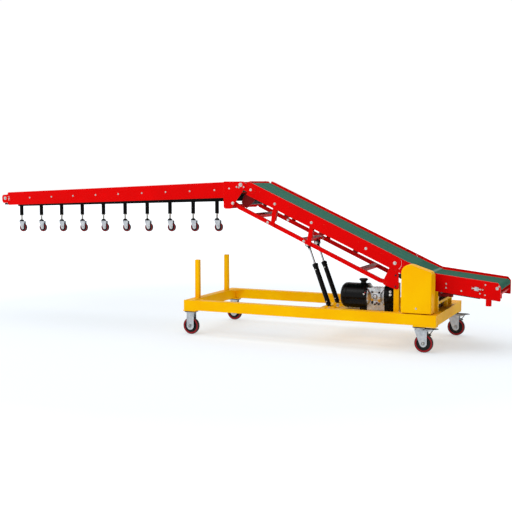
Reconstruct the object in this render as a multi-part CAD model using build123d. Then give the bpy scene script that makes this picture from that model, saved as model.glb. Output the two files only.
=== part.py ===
from build123d import *
import math
import os

os.makedirs("parts", exist_ok=True)

# All lengths are in millimetres. x runs along the conveyor towards its feed end, y across it, z up from the floor.
# Stations in x count from the left end of the base frame, and save() moves them to the part's middle.
# The near side is -y.

# Base frame of rectangular tube
base_length = 2970.0
base_width = 1300.0
beam_height = 115.0
beam_width = 100.0
beam_wall = 5.0
caster_height = 290.0
cross_height = 50.0
cross_width = 80.0
cross_stations = (1540.0, 1735.0, 2330.0, 2460.0)
gusset_leg = 130.0
gusset_thickness = 6.0
rigid_pad_length = 156.0
swivel_pad_length = 245.0
swivel_pad_x = 2845.0
pad_width = 115.0
pad_thickness = 14.0

# Stop posts of square tube, open at the top
post_size = 50.0
post_wall = 3.0
post_height = 455.0
post_spacing = 780.0

# Floor casters
floor_wheel_diameter = 200.0
floor_wheel_width = 46.0
floor_axle_diameter = 20.0
floor_hub_diameter = 58.0
floor_nut_diameter = 32.0
floor_nut_height = 8.0
floor_fork_gap = 58.0
floor_fork_wall = 6.0
floor_fork_foot = 38.0
rigid_fork_width = 92.0
floor_trail = 45.0
caster_plate_length = 135.0
caster_plate_width = 105.0
caster_plate_thickness = 10.0
caster_plate_corner = 12.0
swivel_head_diameter = 100.0
swivel_head_height = 24.0
swivel_head_bevel = 8.0
swivel_gap = 1.0
spigot_diameter = 24.0
spigot_length = 18.0
rigid_caster_x = 68.0
near_swivel_x = 2787.0
far_swivel_x = 2881.0
caster_inset = 60.0
pedal_reach = 150.0
pedal_width = 52.0
pedal_thickness = 5.0
pedal_drop = 6.0
pedal_hub = 22.0

# Side plates, belts and rollers of all three sections
conveyor_width = 706.0
plate_thickness = 5.0
flange_width = 18.0
belt_width = 600.0
belt_thickness = 6.0
belt_drop = 22.0
belt_joint_gap = 16.0
flange_cut = 40.0
roller_diameter = 90.0
shaft_diameter = 30.0
bed_thickness = 4.0
bed_clearance = 60.0
cross_tube = 40.0
pin_diameter = 24.0
pin_clearance = 0.05
side_gap = 0.3
wheel_ring_share = 0.74
wheel_ring_step = 0.03
wheel_disc_share = 0.45

# Incline between its pivot and the boom's hinge
pivot_x = 2443.0
pivot_height = 908.0
incline_length = 2026.0
incline_slope = 24.5
incline_depth = 150.0
incline_start = 110.0
link_radius = 40.0
link_length = 158.0
incline_roller_start = 86.0
incline_roller_gap = 28.0
incline_cross_stations = (250.0, 653.0, 1117.0, 1560.0, 1850.0)
idler_diameter = 60.0
hanger_y = 315.0
hanger_width = 80.0
hanger_thickness = 6.0
snub_station = 118.0
snub_fall = 154.0
snub_diameter = 90.0
snub_y = 274.0
snub_plate_x = (130.0, 205.0)
snub_plate_thickness = 6.0
snub_outline = ((60.0, 81.0), (205.0, 81.0), (205.0, 112.0), (150.0, 235.0), (60.0, 200.0))

# Lift arms, parallel to the incline, and the struts that join them to it
arm_offset_x = -100.0
arm_offset_z = -214.0
arm_height = 46.0
arm_thickness = 25.0
arm_spacing = 612.0
arm_cross_stations = (300.0, 1700.0)
arm_cross_width = 50.0
arm_cross_step = 6.0
strut_stations = (479.0, 970.0)
strut_drop = 20.0
arm_sag = 18.0
arm_bend = 75.0
strut_width = 32.0
strut_thickness = 10.0
strut_pin_diameter = 20.0
strut_gap = 0.5

# Pivot posts and brackets
pivot_post_x = 2460.0
pivot_post_size = 60.0
pivot_post_top = 690.0
bracket_thickness = 10.0
bracket_boss = 34.0
bracket_overlap = 40.0

# Lift cylinders
cylinder_foot_x = 1632.0
cylinder_foot_z = 340.0
cylinder_head_x = 1362.0
cylinder_head_z = 1066.0
cylinder_spacing = 300.0
barrel_diameter = 56.0
barrel_start = 48.0
barrel_length = 540.0
gland_diameter = 66.0
gland_length = 34.0
rod_diameter = 28.0
rod_depth = 240.0
rod_travel = 175.0
foot_eye_width = 42.0
head_eye_width = 56.0
head_eye_diameter = 48.0
lug_thickness = 10.0
lug_gap = 1.0
lug_width = 50.0
head_pin_diameter = 28.0
head_pin_length = 8.0

# Boom
boom_droop = 2.4
boom_mid_drop = 52.0
boom_hinge_depth = 184.0
boom_nose_depth = 166.0
boom_start = 219.0
boom_plate_start = 130.0
boom_length = 3165.0
boom_corner = 34.0
boom_roller_start = 62.0
nose_reach = 95.0
nose_depth = 109.0
nose_roller_rise = 8.0
boom_cross_first = 278.0
boom_cross_pitch = 332.0
gusset_top = 38.0
gusset_lead = 58.0
gusset_lead_drop = 30.0
gusset_toe_back = 22.0
gusset_toe_drop = 66.0
gusset_round = 28.0
toe_tube = 44.0
toe_tube_inset = 46.0
toe_tube_rise = 24.0

# Spine under the boom and its hanging casters, counted from the hinge
spine_width = 70.0
spine_height = 75.0
spine_nose_height = 32.0
spine_base_z = 1541.0
spine_slope = 1.81
spine_gap = 130.0
spine_overhang = 30.0
carrier_inset = 60.0
carrier_sink = 5.0
carrier_count = 6
carrier_height = 20.0
carrier_width = 40.0
leg_count = 10
leg_first_x = 112.0
leg_pitch = 329.0
leg_axle_z = 1231.0
leg_line_slope = 1.41
leg_tube_diameter = 48.0
leg_stem_diameter = 22.0
leg_stem_length = 62.0
leg_nut_diameter = 36.0
leg_nut_height = 10.0
leg_wheel_diameter = 110.0
leg_wheel_width = 32.0
leg_axle_diameter = 12.0
leg_fork_gap = 38.0
leg_fork_wall = 4.0
leg_fork_foot = 24.0
leg_head_diameter = 64.0
leg_head_top = 36.0
leg_head_height = 22.0
leg_crown_reach = 26.0
leg_hub_diameter = 34.0
leg_trail = 25.0
leg_axle_drop = 106.0
leg_spigot_diameter = 16.0
leg_spigot_length = 14.0

# Feed section
kink_x = 2808.0
low_kink_x = 2844.0
tail_end_x = 3570.0
tail_slope = 6.4
tail_depth = 188.0
tail_start = 88.0
tail_corner = 10.0
tail_end_chamfer = (30.0, 38.0)
tail_seam_x = 3400.0
seam_width = 3.0
seam_depth = 1.5
bend_shift = 14.0
bend_sink = 4.0
end_roller_diameter = 60.0
end_bar_diameter = 24.0
end_bar_inset = 24.0
end_bar_depth = 130.0
socket_x = 3448.0
socket_y = 335.0
socket_diameter = 60.0
socket_bore = 50.0
socket_length = 68.0
socket_rise = 8.0
socket_floor = 4.0
take_up_x = 3325.0
take_up_length = 120.0
take_up_size = 34.0
take_up_screw = 12.0
take_up_lug = 10.0

# Trough under the tail's returning belt
trough_x = (2935.0, 3391.0)
trough_depth = 45.0
trough_drop = 20.0
trough_width = 560.0
trough_wall = 3.0
trough_bar = 25.0

# Supports under the tail on the frame's end beam
support_x = 2900.0
support_size = 40.0
support_bar_size = 30.0
support_bar_rise = 75.0
support_mid_y = 113.0

# Drive guard of folded sheet, with the gear motor behind it
guard_left_x = 2592.0
guard_right_x = 2916.0
guard_top_z = 957.0
guard_fall = 107.0
guard_round = 88.0
guard_width = 150.0
guard_inset = 6.0
guard_lift = 9.0
guard_plate = 6.0
guard_corner = 32.0
guard_edge = 12.0
gear_case_size = 150.0
gear_case_depth = 90.0
gear_motor_diameter = 110.0
gear_motor_length = 210.0
gear_fan_height = 40.0
gear_fan_gap = 4.0
housing_x = 2620.0
housing_z = (320.0, 596.0)
housing_width = 640.0
housing_panel = 5.0

# Power unit on its tray
unit_y = -100.0
tray_thickness = 5.0
tray_width = 260.0
tank_left_x = 1770.0
tank_length = 315.0
tank_diameter = 285.0
tank_lift = 15.0
tank_dome = 60.0
foot_width = 160.0
foot_length = 90.0
cap_inset = 70.0
cap_diameter = 96.0
cap_height = 52.0
cap_rim = 16.0
cap_crown = 8.0
cap_neck_diameter = 56.0
cap_neck_height = 14.0
cap_sink = 12.0
block_length = 200.0
block_width = 176.0
block_rise = 100.0
ring_diameter = 248.0
ring_thickness = 14.0
bell_length = 36.0
bell_diameter = 186.0
motor_diameter = 245.0
motor_length = 130.0
motor_rise = 30.0
motor_bevel = 18.0
motor_groove = 6.0

# Places worked out from the sizes above
base_top = caster_height + beam_height
tray_top = caster_height + cross_height + tray_thickness
caster_y = base_width / 2 - caster_inset
slope = math.radians(incline_slope)
droop = math.radians(boom_droop)
hinge_x = pivot_x - incline_length * math.cos(slope)
hinge_z = pivot_height + incline_length * math.sin(slope)
arm_low = (pivot_x + arm_offset_x, pivot_height + arm_offset_z)
arm_high = (hinge_x + arm_offset_x, hinge_z + arm_offset_z)
half_width = conveyor_width / 2
web_inside = half_width - plate_thickness
boom_outside = half_width + plate_thickness + side_gap
boom_inside = boom_outside - plate_thickness
roller_radius = roller_diameter / 2
arm_y = arm_spacing / 2
strut_y = arm_y + arm_thickness / 2 + strut_gap + strut_thickness / 2
bracket_y = web_inside - side_gap - bracket_thickness / 2
lug_station = (cylinder_head_x - arm_offset_x - hinge_x) / math.cos(slope)
idler_stations = incline_cross_stations[1:4]
tail_depth_upright = tail_depth / math.cos(math.radians(tail_slope))
incline_roller_end = incline_length - roller_radius - belt_thickness - incline_roller_gap
nose_end_x = hinge_x - (boom_start + boom_length) * math.cos(droop) - nose_reach
mid_x = (tail_end_x + nose_end_x) / 2


# Helpers


def save(name, shape):
    export_step(Pos(-mid_x, 0, 0) * shape, "parts/" + name + ".step")


def box_between(x0, x1, y0, y1, z0, z1):
    return Pos((x0 + x1) / 2, (y0 + y1) / 2, (z0 + z1) / 2) * Box(x1 - x0, y1 - y0, z1 - z0)


def cross_rod(x, z, diameter, length, y=0.0):
    return Pos(x, y, z) * Rot(90, 0, 0) * Cylinder(diameter / 2, length)


def long_rod(x0, x1, y, z, diameter):
    return Pos((x0 + x1) / 2, y, z) * Rot(0, 90, 0) * Cylinder(diameter / 2, x1 - x0)


def upright(x, y, z0, z1, diameter):
    return Pos(x, y, (z0 + z1) / 2) * Cylinder(diameter / 2, z1 - z0)


def side_face(face, thickness, y):
    """A plate in the x-z plane, centred on y, from a face drawn with z as its second axis."""
    return Pos(0, y + thickness / 2, 0) * Rot(90, 0, 0) * extrude(face, thickness)


def side_plate(points, thickness, y):
    return side_face(make_face(Polyline(*points, close=True)), thickness, y)


def both_sides(shape):
    return [shape, mirror(shape, Plane.XZ)]


def joined(parts):
    result = parts[0]
    for part in parts[1:]:
        result = result + part
    return result


def box_tube(x, y, z, length, width, height, wall, along="x"):
    """A closed box beam with its middle at (x, y, z)."""
    size = (length, width) if along == "x" else (width, length)
    outer = Pos(x, y, z) * Box(size[0], size[1], height)
    return outer - Pos(x, y, z) * Box(size[0] - 2 * wall, size[1] - 2 * wall, height - 2 * wall)


def lying(x, z, angle):
    """A frame at (x, z) whose local x points towards the feed end at the angle below the level."""
    return Pos(x, 0, z) * Rot(0, angle, 0)


def rounded_bar(start, end, width, thickness, y=0.0):
    """A flat bar with round ends whose end centres are the two points in x and z."""
    (x0, z0), (x1, z1) = start, end
    length = math.hypot(x1 - x0, z1 - z0)
    angle = math.degrees(math.atan2(z1 - z0, x1 - x0))
    face = Pos(x0, z0) * Rot(0, 0, angle) * Pos(length / 2, 0) * SlotCenterToCenter(length, width)
    return side_face(face, thickness, y)


def rounded(face, corners):
    """A face with corners rounded, each given as x, z and the radius."""
    for x, z, radius in corners:
        corner = face.vertices().sort_by_distance((x, z, 0))[0]
        face = fillet(corner, radius)
    return face


def hull_of(shapes):
    """The face round several faces."""
    group = Sketch() + shapes
    return make_hull(group.edges())


def hull_face(circles):
    """The face round two circles, each given as x, z and radius."""
    return hull_of([Pos(x, z) * Circle(radius) for x, z, radius in circles])


def belt_loop(bends):
    """A closed belt round its rollers and bends, each given as x, z and the belt's inside radius."""
    outer = []
    inner = []
    for pair in zip(bends, bends[1:]):
        outer.append(hull_face([(x, z, radius + belt_thickness) for x, z, radius in pair]))
        inner.append(hull_face(pair))
    return side_face(joined(outer) - joined(inner), belt_width, 0)


def roller(x, z, diameter, length, reach):
    """A roller with its shaft, whose ends reach the side plates."""
    return cross_rod(x, z, diameter, length) + cross_rod(x, z, shaft_diameter, 2 * reach)


def pan_plate(face, outside, open_faces):
    """A side plate with its edges folded inwards but in the open faces, its outer skin at y = outside."""
    blank = side_face(face, flange_width, outside - flange_width / 2)
    depth = flange_width - plate_thickness
    for cut in [offset(face, -plate_thickness)] + open_faces:
        blank = blank - side_face(cut, depth, outside - plate_thickness - depth / 2)
    return blank


def incline_point(s, n):
    """A point s down the incline from the boom's hinge and n above its middle line."""
    x = hinge_x + s * math.cos(slope) + n * math.sin(slope)
    return x, hinge_z - s * math.sin(slope) + n * math.cos(slope)


def arm_point(s, n=0.0):
    """A point s down the lift arms from their upper pins and n above the line of their pins."""
    x, z = incline_point(s, n)
    return x + arm_offset_x, z + arm_offset_z


def boom_point(s, n):
    """A point s along the boom from its hinge towards the nose and n above its middle line."""
    x = hinge_x - s * math.cos(droop) - n * math.sin(droop)
    return x, hinge_z - boom_mid_drop - s * math.sin(droop) + n * math.cos(droop)


def tail_point(x, depth):
    """A point of the feed section at station x, depth straight below its top edge."""
    top_x, top_z = incline_point(incline_length, incline_depth / 2)
    kink_z = top_z - (kink_x - top_x) * math.tan(slope)
    return x, kink_z - (x - kink_x) * math.tan(math.radians(tail_slope)) - depth


# Base frame


def cylinder_lugs():
    """The lugs between two cross beams that hold the cylinders' feet, with their pins."""
    lugs = []
    x0 = cross_stations[0] + cross_width / 2
    x1 = cross_stations[1] - cross_width / 2
    half_gap = foot_eye_width / 2 + lug_gap
    for y in (-cylinder_spacing / 2, cylinder_spacing / 2):
        for side in (-1, 1):
            inner, outer = sorted((side * half_gap, side * (half_gap + lug_thickness)))
            lugs.append(box_between(x0, x1, y + inner, y + outer, caster_height, cylinder_foot_z + lug_width / 2))
        lugs.append(cross_rod(cylinder_foot_x, cylinder_foot_z, pin_diameter, 2 * (half_gap + lug_thickness), y))
    return joined(lugs)


def corner_gusset(x, y):
    """A flat triangle in an inner corner of the frame, its right angle at (x, y)."""
    to_x = gusset_leg if x < base_length / 2 else -gusset_leg
    to_y = gusset_leg if y < 0 else -gusset_leg
    face = make_face(Polyline((x, y), (x + to_x, y), (x, y + to_y), close=True))
    return Pos(0, 0, base_top - 2 * gusset_thickness) * extrude(face, gusset_thickness)


def tail_supports():
    """Two posts under the tail's side plates with a cross bar and a short middle post."""
    x0 = support_x - support_size / 2
    x1 = support_x + support_size / 2
    y = half_width - support_size / 2
    tops = [(x, tail_point(x, tail_depth_upright)[1] - side_gap) for x in (x1, x0)]
    posts = both_sides(side_plate([(x0, base_top), (x1, base_top)] + tops, support_size, y))
    bar_z = base_top + support_bar_rise
    bar = box_between(x0, x1, -y, y, bar_z, bar_z + support_bar_size)
    mid = box_between(x0, x1, support_mid_y - support_bar_size / 2, support_mid_y + support_bar_size / 2,
                      base_top, bar_z)
    return joined(posts + [bar, mid])


def base_frame():
    mid_z = caster_height + beam_height / 2
    inner_width = base_width - 2 * beam_width
    side_y = (base_width - beam_width) / 2
    parts = [box_tube(base_length / 2, y, mid_z, base_length, beam_width, beam_height, beam_wall)
             for y in (-side_y, side_y)]
    for x in (beam_width / 2, base_length - beam_width / 2):
        parts.append(box_tube(x, 0, mid_z, inner_width, beam_width, beam_height, beam_wall, along="y"))
        inner_x = beam_width if x < base_length / 2 else base_length - beam_width
        parts += [corner_gusset(inner_x, y) for y in (-inner_width / 2, inner_width / 2)]
    cross_z = caster_height + cross_height / 2
    for x in cross_stations:
        parts.append(box_tube(x, 0, cross_z, inner_width, cross_width, cross_height, beam_wall, along="y"))
    pad_z = caster_height - pad_thickness / 2
    for x, length in ((rigid_caster_x, rigid_pad_length), (swivel_pad_x, swivel_pad_length)):
        parts += [Pos(x, y, pad_z) * Box(length, pad_width, pad_thickness) for y in (-caster_y, caster_y)]
    tray_end = cross_stations[2] + cross_width / 2
    parts.append(box_between(tank_left_x, tray_end, unit_y - tray_width / 2, unit_y + tray_width / 2,
                             tray_top - tray_thickness, tray_top))
    return joined(parts + [cylinder_lugs(), tail_supports()])


def stop_posts():
    x = beam_width / 2
    y = post_spacing / 2
    bore = post_size - 2 * post_wall
    z = base_top + post_height / 2
    return Compound(both_sides(Pos(x, y, z) * (Box(post_size, post_size, post_height) - Box(bore, bore, post_height))))


def pivot_posts():
    z0 = caster_height + cross_height
    half = pivot_post_size / 2
    outside = bracket_y - bracket_thickness / 2
    post = box_between(pivot_post_x - half, pivot_post_x + half, outside - pivot_post_size, outside, z0, pivot_post_top)
    return Compound(both_sides(post))


def pivot_brackets():
    """Straps that hold the incline's pivot pin over the posts, widened to the arms' lower pin."""
    foot_z = pivot_post_top - bracket_overlap
    ends = {"pivot": Pos(pivot_x, pivot_height) * Circle(bracket_boss),
            "foot": Pos(pivot_post_x, foot_z) * Circle(pivot_post_size / 2),
            "arm": Pos(*arm_low) * Circle(bracket_boss)}
    face = hull_of([ends["pivot"], ends["foot"]]) + hull_of([ends["pivot"], ends["arm"]])
    face = face + hull_of([ends["foot"], ends["arm"]])
    face = face + make_face(Polyline((pivot_x, pivot_height), arm_low, (pivot_post_x, foot_z), close=True))
    plate = side_face(face, bracket_thickness, bracket_y)
    for x, z in ((pivot_x, pivot_height), arm_low):
        plate = plate - cross_rod(x, z, pin_diameter + 2 * pin_clearance, 2 * bracket_thickness, bracket_y)
    return Compound(both_sides(plate))


def drive_guard():
    """A folded cover with rounded corners on a back plate that stands on the frame."""
    front = -base_width / 2 + guard_inset
    back = -base_width / 2 + guard_width
    low = base_top + guard_lift
    right_z = guard_top_z - guard_fall
    outline = make_face(Polyline((guard_left_x, low), (guard_left_x, guard_top_z), (guard_right_x, right_z),
                                 (guard_right_x, low), close=True))
    outline = rounded(outline, [(guard_left_x, guard_top_z, guard_round), (guard_right_x, right_z, guard_corner)])
    cover_depth = back - guard_plate - front
    cover = side_face(outline, cover_depth, front + cover_depth / 2)
    cover = fillet(cover.faces().sort_by(Axis.Y)[0].edges(), guard_edge)
    plate = box_between(guard_left_x, guard_right_x + guard_inset, back - guard_plate, back, base_top,
                        drive_axis()[1] + gear_case_size / 2)
    return cover + plate


def tail_bends():
    """What the tail belt goes round, from the pivot end to the feed end."""
    first = incline_point(incline_length + 2 * (roller_radius + belt_thickness) + belt_joint_gap, 0)
    bend_x = kink_x + bend_shift
    bend = tail_point(bend_x, belt_drop + belt_thickness + roller_radius + bend_sink)
    last_x = tail_end_x - belt_thickness - end_roller_diameter / 2
    last = tail_point(last_x, belt_drop + belt_thickness + end_roller_diameter / 2)
    return [(*first, roller_radius), (*bend, roller_radius), (*last, end_roller_diameter / 2)]


def tail_plates():
    depth = tail_depth_upright
    half = incline_depth / 2
    start = incline_length + tail_start
    end_low = tail_point(tail_end_x, tail_end_chamfer[1])
    corner = tail_point(tail_end_x - tail_end_chamfer[0], 0)
    outline = make_face(Polyline(incline_point(start, half), tail_point(kink_x, 0), corner, end_low,
                                 tail_point(tail_end_x, depth), tail_point(low_kink_x, depth),
                                 incline_point(start, -half), close=True))
    outline = rounded(outline, [(*corner, tail_corner), (*end_low, tail_corner),
                                (*tail_point(tail_end_x, depth), tail_corner)])
    open_end = make_face(Polyline(incline_point(start - flange_cut, half + flange_cut),
                                  incline_point(start + flange_cut, half + flange_cut),
                                  incline_point(start + flange_cut, -half - flange_cut),
                                  incline_point(start - flange_cut, -half - flange_cut), close=True))
    plate = pan_plate(outline, half_width, [open_end])
    seam_x, seam_z = tail_point(tail_seam_x, tail_depth / 2)
    seam = Pos(seam_x, half_width, seam_z) * Box(seam_width, 2 * seam_depth, 2 * tail_depth)
    plates = both_sides(joined([plate - seam, leg_socket(), take_up()]))
    bar_x, bar_z = tail_point(tail_end_x - end_bar_inset, end_bar_depth)
    hub_x, hub_z = drive_axis()
    shaft_hole = cross_rod(hub_x, hub_z, shaft_diameter + 2 * side_gap, 3 * plate_thickness, -half_width)
    far, near = plates
    bar = cross_rod(bar_x, bar_z, end_bar_diameter, 2 * (web_inside - side_gap))
    return Compound([near - shaft_hole, far, bar])


def leg_socket():
    """The tube under a side plate that takes a support leg."""
    x, z = tail_point(socket_x, tail_depth_upright)
    tube = upright(x, socket_y, z - socket_length, z + socket_rise, socket_diameter)
    return tube - upright(x, socket_y, z - socket_length, z - socket_floor, socket_bore)


def take_up():
    """The belt tensioner on a side plate: a sliding block between two screws."""
    x, z = tail_point(take_up_x, tail_depth / 2)
    y = half_width + take_up_size / 4
    frame = Pos(x, y, z) * Rot(0, tail_slope, 0)
    block = Box(take_up_size, take_up_size / 2, take_up_size)
    screw = Rot(0, 90, 0) * Cylinder(take_up_screw / 2, take_up_length)
    lugs = [Pos(side * (take_up_length - take_up_lug) / 2, 0, 0) * Box(take_up_lug, take_up_size / 2, take_up_size)
            for side in (-1, 1)]
    return frame * joined([block, screw] + lugs)


def drive_axis():
    """Where the belt's drive roller turns, at the bend between the incline and the tail."""
    x, z, radius = tail_bends()[1]
    return x, z


def tail_belt():
    return belt_loop(tail_bends())


def tail_rollers():
    rollers = []
    for x, z, radius in tail_bends():
        rollers.append(roller(x, z, 2 * radius, belt_width, web_inside))
    return Compound(rollers)


def return_cover():
    """The open trough under the tail's returning belt, hung from the side plates by two bars."""
    top = tail_depth - trough_depth
    x0, x1 = trough_x
    low = tail_depth + trough_drop
    outline = make_face(Polyline(tail_point(x0, top), tail_point(x1, top), tail_point(x1 - trough_depth, low),
                                 tail_point(x0, low), close=True))
    hollow = side_face(offset(outline, -trough_wall), trough_width - 2 * trough_wall, 0)
    parts = [side_face(outline, trough_width, 0) - hollow - Pos(0, 0, 2 * trough_wall) * hollow]
    for x in (x0 + trough_bar, x1 - 2 * trough_depth):
        px, pz = tail_point(x, top + trough_bar)
        parts.append(Pos(px, 0, pz) * Rot(0, tail_slope, 0) * Box(trough_bar, 2 * web_inside, trough_bar))
    return joined(parts)


def drive_housing():
    """The closed box of the controls under the tail, fixed to the base frame's end beam."""
    x1 = base_length - beam_width
    low, high = housing_z
    half = housing_width / 2
    body = box_between(housing_x, x1 - housing_panel, -half, half, low, high)
    body = fillet(body.edges().filter_by(Axis.Z), 2 * housing_panel)
    reach = half - 2 * housing_panel
    return body + box_between(x1 - housing_panel, x1, -reach, reach, low + housing_panel, high - housing_panel)


def gear_motor():
    """The belt's drive behind the guard: a gear case, its shaft to the drive roller and an upright motor."""
    x, z = drive_axis()
    y0 = -base_width / 2 + guard_width + side_gap
    y1 = y0 + gear_case_depth
    case = cross_rod(x, z, gear_case_size, gear_case_depth, (y0 + y1) / 2)
    shaft_end = -web_inside - side_gap
    shaft = cross_rod(x, z, shaft_diameter, shaft_end - y1, (shaft_end + y1) / 2)
    motor_y = y0 + gear_motor_diameter / 2 + gear_fan_gap
    motor_top = z - gear_case_size / 4
    motor = upright(x, motor_y, motor_top - gear_motor_length, motor_top, gear_motor_diameter)
    fan_top = motor_top - gear_motor_length + gear_fan_height
    groove = upright(x, motor_y, fan_top, fan_top + gear_fan_gap, gear_motor_diameter)
    groove = groove - upright(x, motor_y, fan_top, fan_top + gear_fan_gap, gear_motor_diameter - 2 * gear_fan_gap)
    return Compound([joined([case, shaft, motor - groove]), drive_housing()])


# Power unit


def tank_axis_z():
    return tray_top + tank_lift + tank_diameter / 2


def hydraulic_tank():
    z = tank_axis_z()
    right = tank_left_x + tank_length
    radius = tank_diameter / 2
    tank = long_rod(tank_left_x, right, unit_y, z, tank_diameter)
    tank = fillet(tank.edges().filter_by(GeomType.CIRCLE).sort_by(Axis.X)[0], tank_dome)
    foot = box_between(right - foot_length, right, unit_y - foot_width / 2, unit_y + foot_width / 2,
                       tray_top, z - radius / 2)
    return tank + foot


def filler_cap():
    x = tank_left_x + tank_length - cap_inset
    tank_top = tank_axis_z() + tank_diameter / 2
    rim = cap_diameter / 2
    neck = cap_neck_diameter / 2
    profile = make_face(Polyline((0, -cap_sink), (neck, -cap_sink), (neck, cap_neck_height),
                                 (rim, cap_height - cap_rim), (rim, cap_height - cap_crown),
                                 (rim - cap_crown, cap_height), (0, cap_height), close=True))
    cap = Pos(x, unit_y, tank_top) * revolve(Rot(90, 0, 0) * profile, Axis.Z)
    return cap - long_rod(tank_left_x, tank_left_x + tank_length, unit_y, tank_axis_z(), tank_diameter)


def pump_block():
    z = tank_axis_z()
    left = tank_left_x + tank_length
    right = left + block_length
    body = box_between(left, right, unit_y - block_width / 2, unit_y + block_width / 2, tray_top, z + block_rise)
    profile = make_face(Polyline((0, 0), (ring_diameter / 2, 0), (ring_diameter / 2, ring_thickness),
                                 (bell_diameter / 2, ring_thickness + bell_length),
                                 (0, ring_thickness + bell_length), close=True))
    bell = revolve(Rot(90, 0, 0) * profile, Axis.Z)
    bells = [Pos(left, unit_y, z) * Rot(0, 90, 0) * bell, Pos(right, unit_y, z) * Rot(0, -90, 0) * bell]
    return joined([body] + bells)


def pump_motor():
    z = tank_axis_z() + motor_rise
    left = tank_left_x + tank_length + block_length
    right = left + motor_length
    motor = long_rod(left, right, unit_y, z, motor_diameter)
    motor = chamfer(motor.edges().filter_by(GeomType.CIRCLE).sort_by(Axis.X)[-1], motor_bevel)
    grooves = []
    for share in (0.3, 0.5, 0.7):
        x = left + share * motor_length
        ring = long_rod(x, x + motor_groove, unit_y, z, motor_diameter + motor_groove)
        grooves.append(ring - long_rod(x, x + motor_groove, unit_y, z, motor_diameter - 2 * motor_groove))
    foot = box_between(left + motor_groove, right - motor_bevel, unit_y - foot_width / 2, unit_y + foot_width / 2,
                       tray_top, z - motor_diameter / 3)
    return motor - joined(grooves) + foot


# Floor casters

caster_plate_z = caster_height - pad_thickness - caster_plate_thickness
head_top = caster_plate_z - swivel_gap
fork_top = head_top - swivel_head_height


def wheel(x, z, y, size):
    """A wheel turned round its axle: a tyre, a raised side ring, a recessed disc and a hub."""
    radius, half, hub = size["diameter"] / 2, size["width"] / 2, size["hub"] / 2
    bore = size["axle"] / 2 + pin_clearance
    ring = radius * wheel_ring_share
    face = half - radius * wheel_ring_step
    disc = half * wheel_disc_share
    side = [(bore, half), (hub, half), (hub, disc), (ring, disc), (ring, face), (radius - wheel_ring_step * radius, face),
            (radius, face - wheel_ring_step * radius)]
    other = [(r, -w) for r, w in reversed(side)]
    profile = make_face(Polyline(*side, *other, close=True))
    return Pos(x, y, z) * Rot(90, 0, 0) * revolve(Rot(90, 0, 0) * profile, Axis.Z)


def floor_wheel(x, y):
    size = {"diameter": floor_wheel_diameter, "width": floor_wheel_width, "hub": floor_hub_diameter,
            "axle": floor_axle_diameter}
    return wheel(x, floor_wheel_diameter / 2, y, size)


def fork(x, y, top, size, sides):
    """Two cheeks, the crown that joins them and the axle, with the axle at x and sides the crown's ends."""
    z = size["axle_z"]
    gap, wall, foot = size["gap"], size["wall"], size["foot"]
    left, right = sides
    upper = make_face(Polyline((left, top - wall), (right, top - wall), (right, top), (left, top), close=True))
    cheek = hull_of([upper, Pos(x, z) * Circle(foot)])
    across = gap + 2 * wall
    parts = [side_face(cheek, wall, y + side * (gap + wall) / 2) for side in (-1, 1)]
    parts.append(box_between(left, right, y - across / 2, y + across / 2, top - wall, top))
    parts.append(cross_rod(x, z, size["axle"], across + 2 * size["nut"], y))
    for side in (-1, 1):
        parts.append(cross_rod(x, z, size["nut_diameter"], size["nut"], y + side * (across + size["nut"]) / 2))
    return joined(parts)


def floor_fork(x, y, top, sides, foot):
    size = {"axle_z": floor_wheel_diameter / 2, "gap": floor_fork_gap, "wall": floor_fork_wall, "foot": foot,
            "axle": floor_axle_diameter, "nut": floor_nut_height, "nut_diameter": floor_nut_diameter}
    return fork(x, y, top, size, sides)


def swivel_fork(x, y):
    """A braked fork that turns under its plate, with the pedal on the wheel's side."""
    axle_x = x + floor_trail
    half = swivel_head_diameter / 2
    body = floor_fork(axle_x, y, fork_top, (x - half, axle_x + floor_fork_foot), floor_fork_foot)
    head = upright(x, y, fork_top, head_top, swivel_head_diameter)
    head = chamfer(head.edges().filter_by(GeomType.CIRCLE).sort_by(Axis.Z)[0], swivel_head_bevel)
    bore = upright(x, y, head_top - spigot_length - swivel_gap, head_top, spigot_diameter + 2 * pin_clearance)
    pedal_z = head_top - pedal_drop
    tip = axle_x + pedal_reach
    pedal = box_between(x, tip, y - pedal_width / 2, y + pedal_width / 2, pedal_z - pedal_thickness, pedal_z)
    pedal = fillet(pedal.edges().filter_by(Axis.Z).sort_by(Axis.X)[-2:], pedal_width / 3)
    arm_x = axle_x + floor_fork_foot + pedal_hub
    arm = box_between(axle_x, arm_x, y - pedal_width / 4, y + pedal_width / 4, fork_top - floor_fork_wall, pedal_z)
    return joined([body, head, pedal, arm]) - bore


def caster_plate(x, y):
    z = caster_plate_z + caster_plate_thickness / 2
    plate = Pos(x, y, z) * Box(caster_plate_length, caster_plate_width, caster_plate_thickness)
    return fillet(plate.edges().filter_by(Axis.Z), caster_plate_corner)


def caster_plates():
    plates = []
    for x, y in ((near_swivel_x, -caster_y), (far_swivel_x, caster_y)):
        spigot = upright(x, y, caster_plate_z - spigot_length, caster_plate_z, spigot_diameter)
        plates.append(caster_plate(x, y) + spigot)
    return Compound(plates)


def rigid_forks():
    forks = []
    half = rigid_fork_width / 2
    for y in (-caster_y, caster_y):
        x = rigid_caster_x
        body = floor_fork(x, y, caster_plate_z, (x - half, x + half), half)
        forks.append(caster_plate(x, y) + body)
    return Compound(forks)


# Incline


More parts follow.
